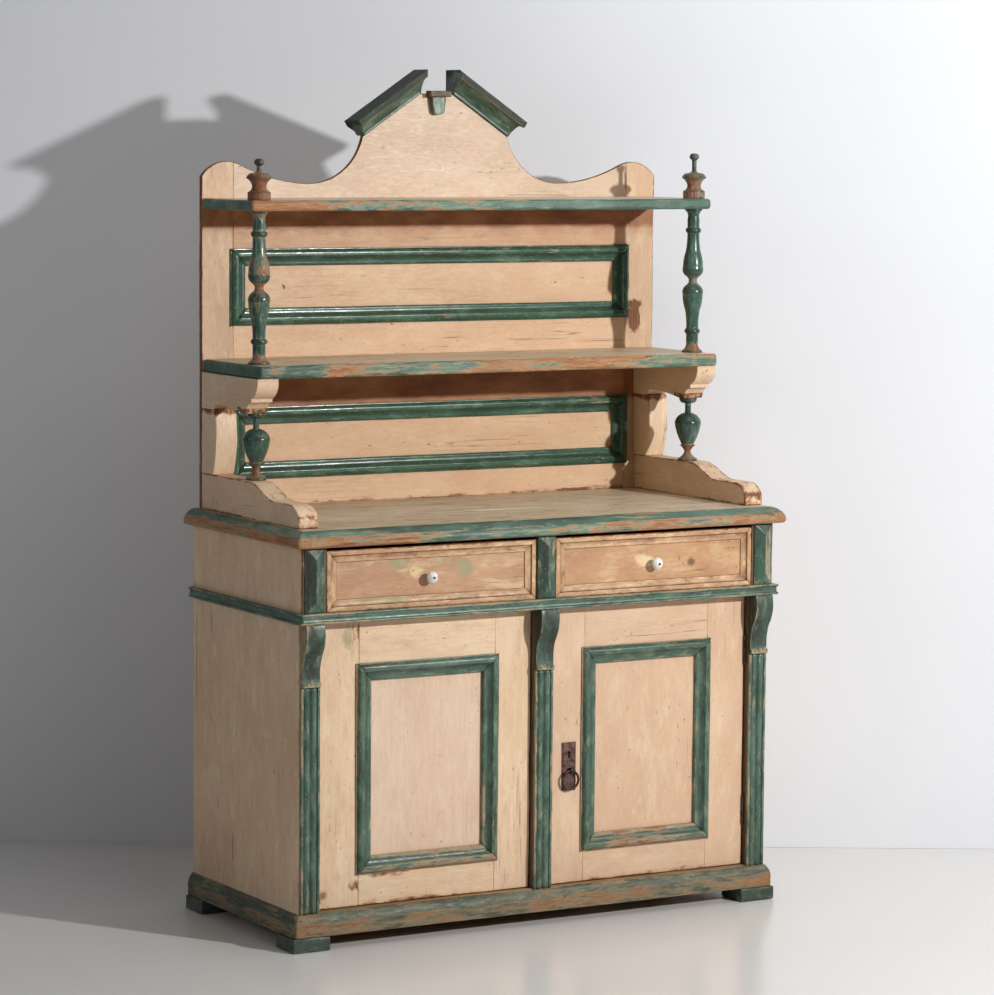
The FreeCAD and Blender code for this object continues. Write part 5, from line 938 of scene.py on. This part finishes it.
def plainFinish(name, colour, rough, oneSided):
    bench = NodeBench(name)
    stops = shades([value - 5 for value in colour], colour)
    bench.dress({"Base Color": bench.ramp(bench.noise(bench.place(), 1.2, 3, 0.5), stops), "Roughness": rough})
    if oneSided:  # clear when seen from behind, so that it never hides the cabinet
        seenBehind = bench.add("ShaderNodeNewGeometry").outputs["Backfacing"]
        clear = bench.add("ShaderNodeBsdfTransparent").outputs[0]
        sided = bench.add("ShaderNodeMixShader", {0: seenBehind, 1: bench.shader.outputs[0], 2: clear})
        bench.feed(bench.tree.nodes["Material Output"].inputs["Surface"], sided.outputs[0])
    return bench.material


def sheetPiece(name, corners, finish):
    mesh = bpy.data.meshes.new(name)
    mesh.from_pydata([tuple(corner) for corner in corners], [], [(0, 1, 2, 3)])
    mesh.materials.append(finish)
    piece = bpy.data.objects.new(name, mesh)
    scene.collection.objects.link(piece)


def softLamp(name, place, target, size, power, colour):  # a round lamp turned to its target
    lamp = bpy.data.objects.new(name, bpy.data.lights.new(name, "AREA"))
    lamp.data.shape = "DISK"
    lamp.data.size = size
    lamp.data.energy = power
    lamp.data.color = colour
    lamp.location = place
    lamp.rotation_euler = (Vector(place) - Vector(target)).to_track_quat("Z", "Y").to_euler()
    scene.collection.objects.link(lamp)


yaw, pitch, roll = (math.radians(angle) for angle in cameraLook["turn"])
forward = Vector((math.sin(yaw) * math.cos(pitch), math.cos(yaw) * math.cos(pitch), -math.sin(pitch)))
level = Vector((math.cos(yaw), -math.sin(yaw), 0))
upright = level.cross(forward)
right = level * math.cos(roll) + upright * math.sin(roll)
up = -level * math.sin(roll) + upright * math.cos(roll)
camera = bpy.data.objects.new("camera", bpy.data.cameras.new("camera"))
camera.data.sensor_width = 36
camera.data.lens = cameraLook["focalPixels"] * 36 / cameraLook["imagePixels"]
camera.data.clip_end = 100
turn = Matrix((right, up, -forward)).transposed().to_4x4()
turn.translation = Vector(cameraLook["at"])
camera.matrix_world = turn
scene.collection.objects.link(camera)
scene.camera = camera
wide, low = stageLook["floorHalf"], stageLook["floorLow"]
floorCorners = [(-wide, -wide, low), (wide, -wide, low), (wide, wide, low), (-wide, wide, low)]
sheetPiece("paleFloor", floorCorners, plainFinish("pale_floor", (231, 230, 229), 0.22, False))
ahead = Vector((math.sin(yaw), math.cos(yaw), 0)) * stageLook["wallAhead"]
wallFoot = Vector((*cameraLook["at"][:2], 0)) + ahead
reach, rise = level * stageLook["wallHalf"], Vector((0, 0, stageLook["wallHigh"]))
wallCorners = [wallFoot - reach, wallFoot + reach, wallFoot + reach + rise, wallFoot - reach + rise]
sheetPiece("paleWall", wallCorners, plainFinish("pale_wall", (234, 237, 243), 0.9, True))
softLamp("key", stageLook["keyAt"], (0, 0, 0.95), stageLook["keySize"], stageLook["key"], (1.0, 0.985, 0.96))
softLamp("top", (0.2, -1.3, 3.3), (0.1, -0.4, 0), 2.2, stageLook["top"], (1.0, 0.985, 0.97))
softLamp("side", (-3.6, -0.6, 1.9), (-0.5, 0, 0.8), 2.4, stageLook["side"], (1.0, 0.97, 0.94))
scene.world = bpy.data.worlds.new("fill")
scene.world.use_nodes = True
background = scene.world.node_tree.nodes["Background"]
background.inputs[0].default_value = (0.97, 1.0, 1.04, 1)
background.inputs[1].default_value = stageLook["fill"]
scene.view_settings.view_transform = "Standard"
print("stage ready")
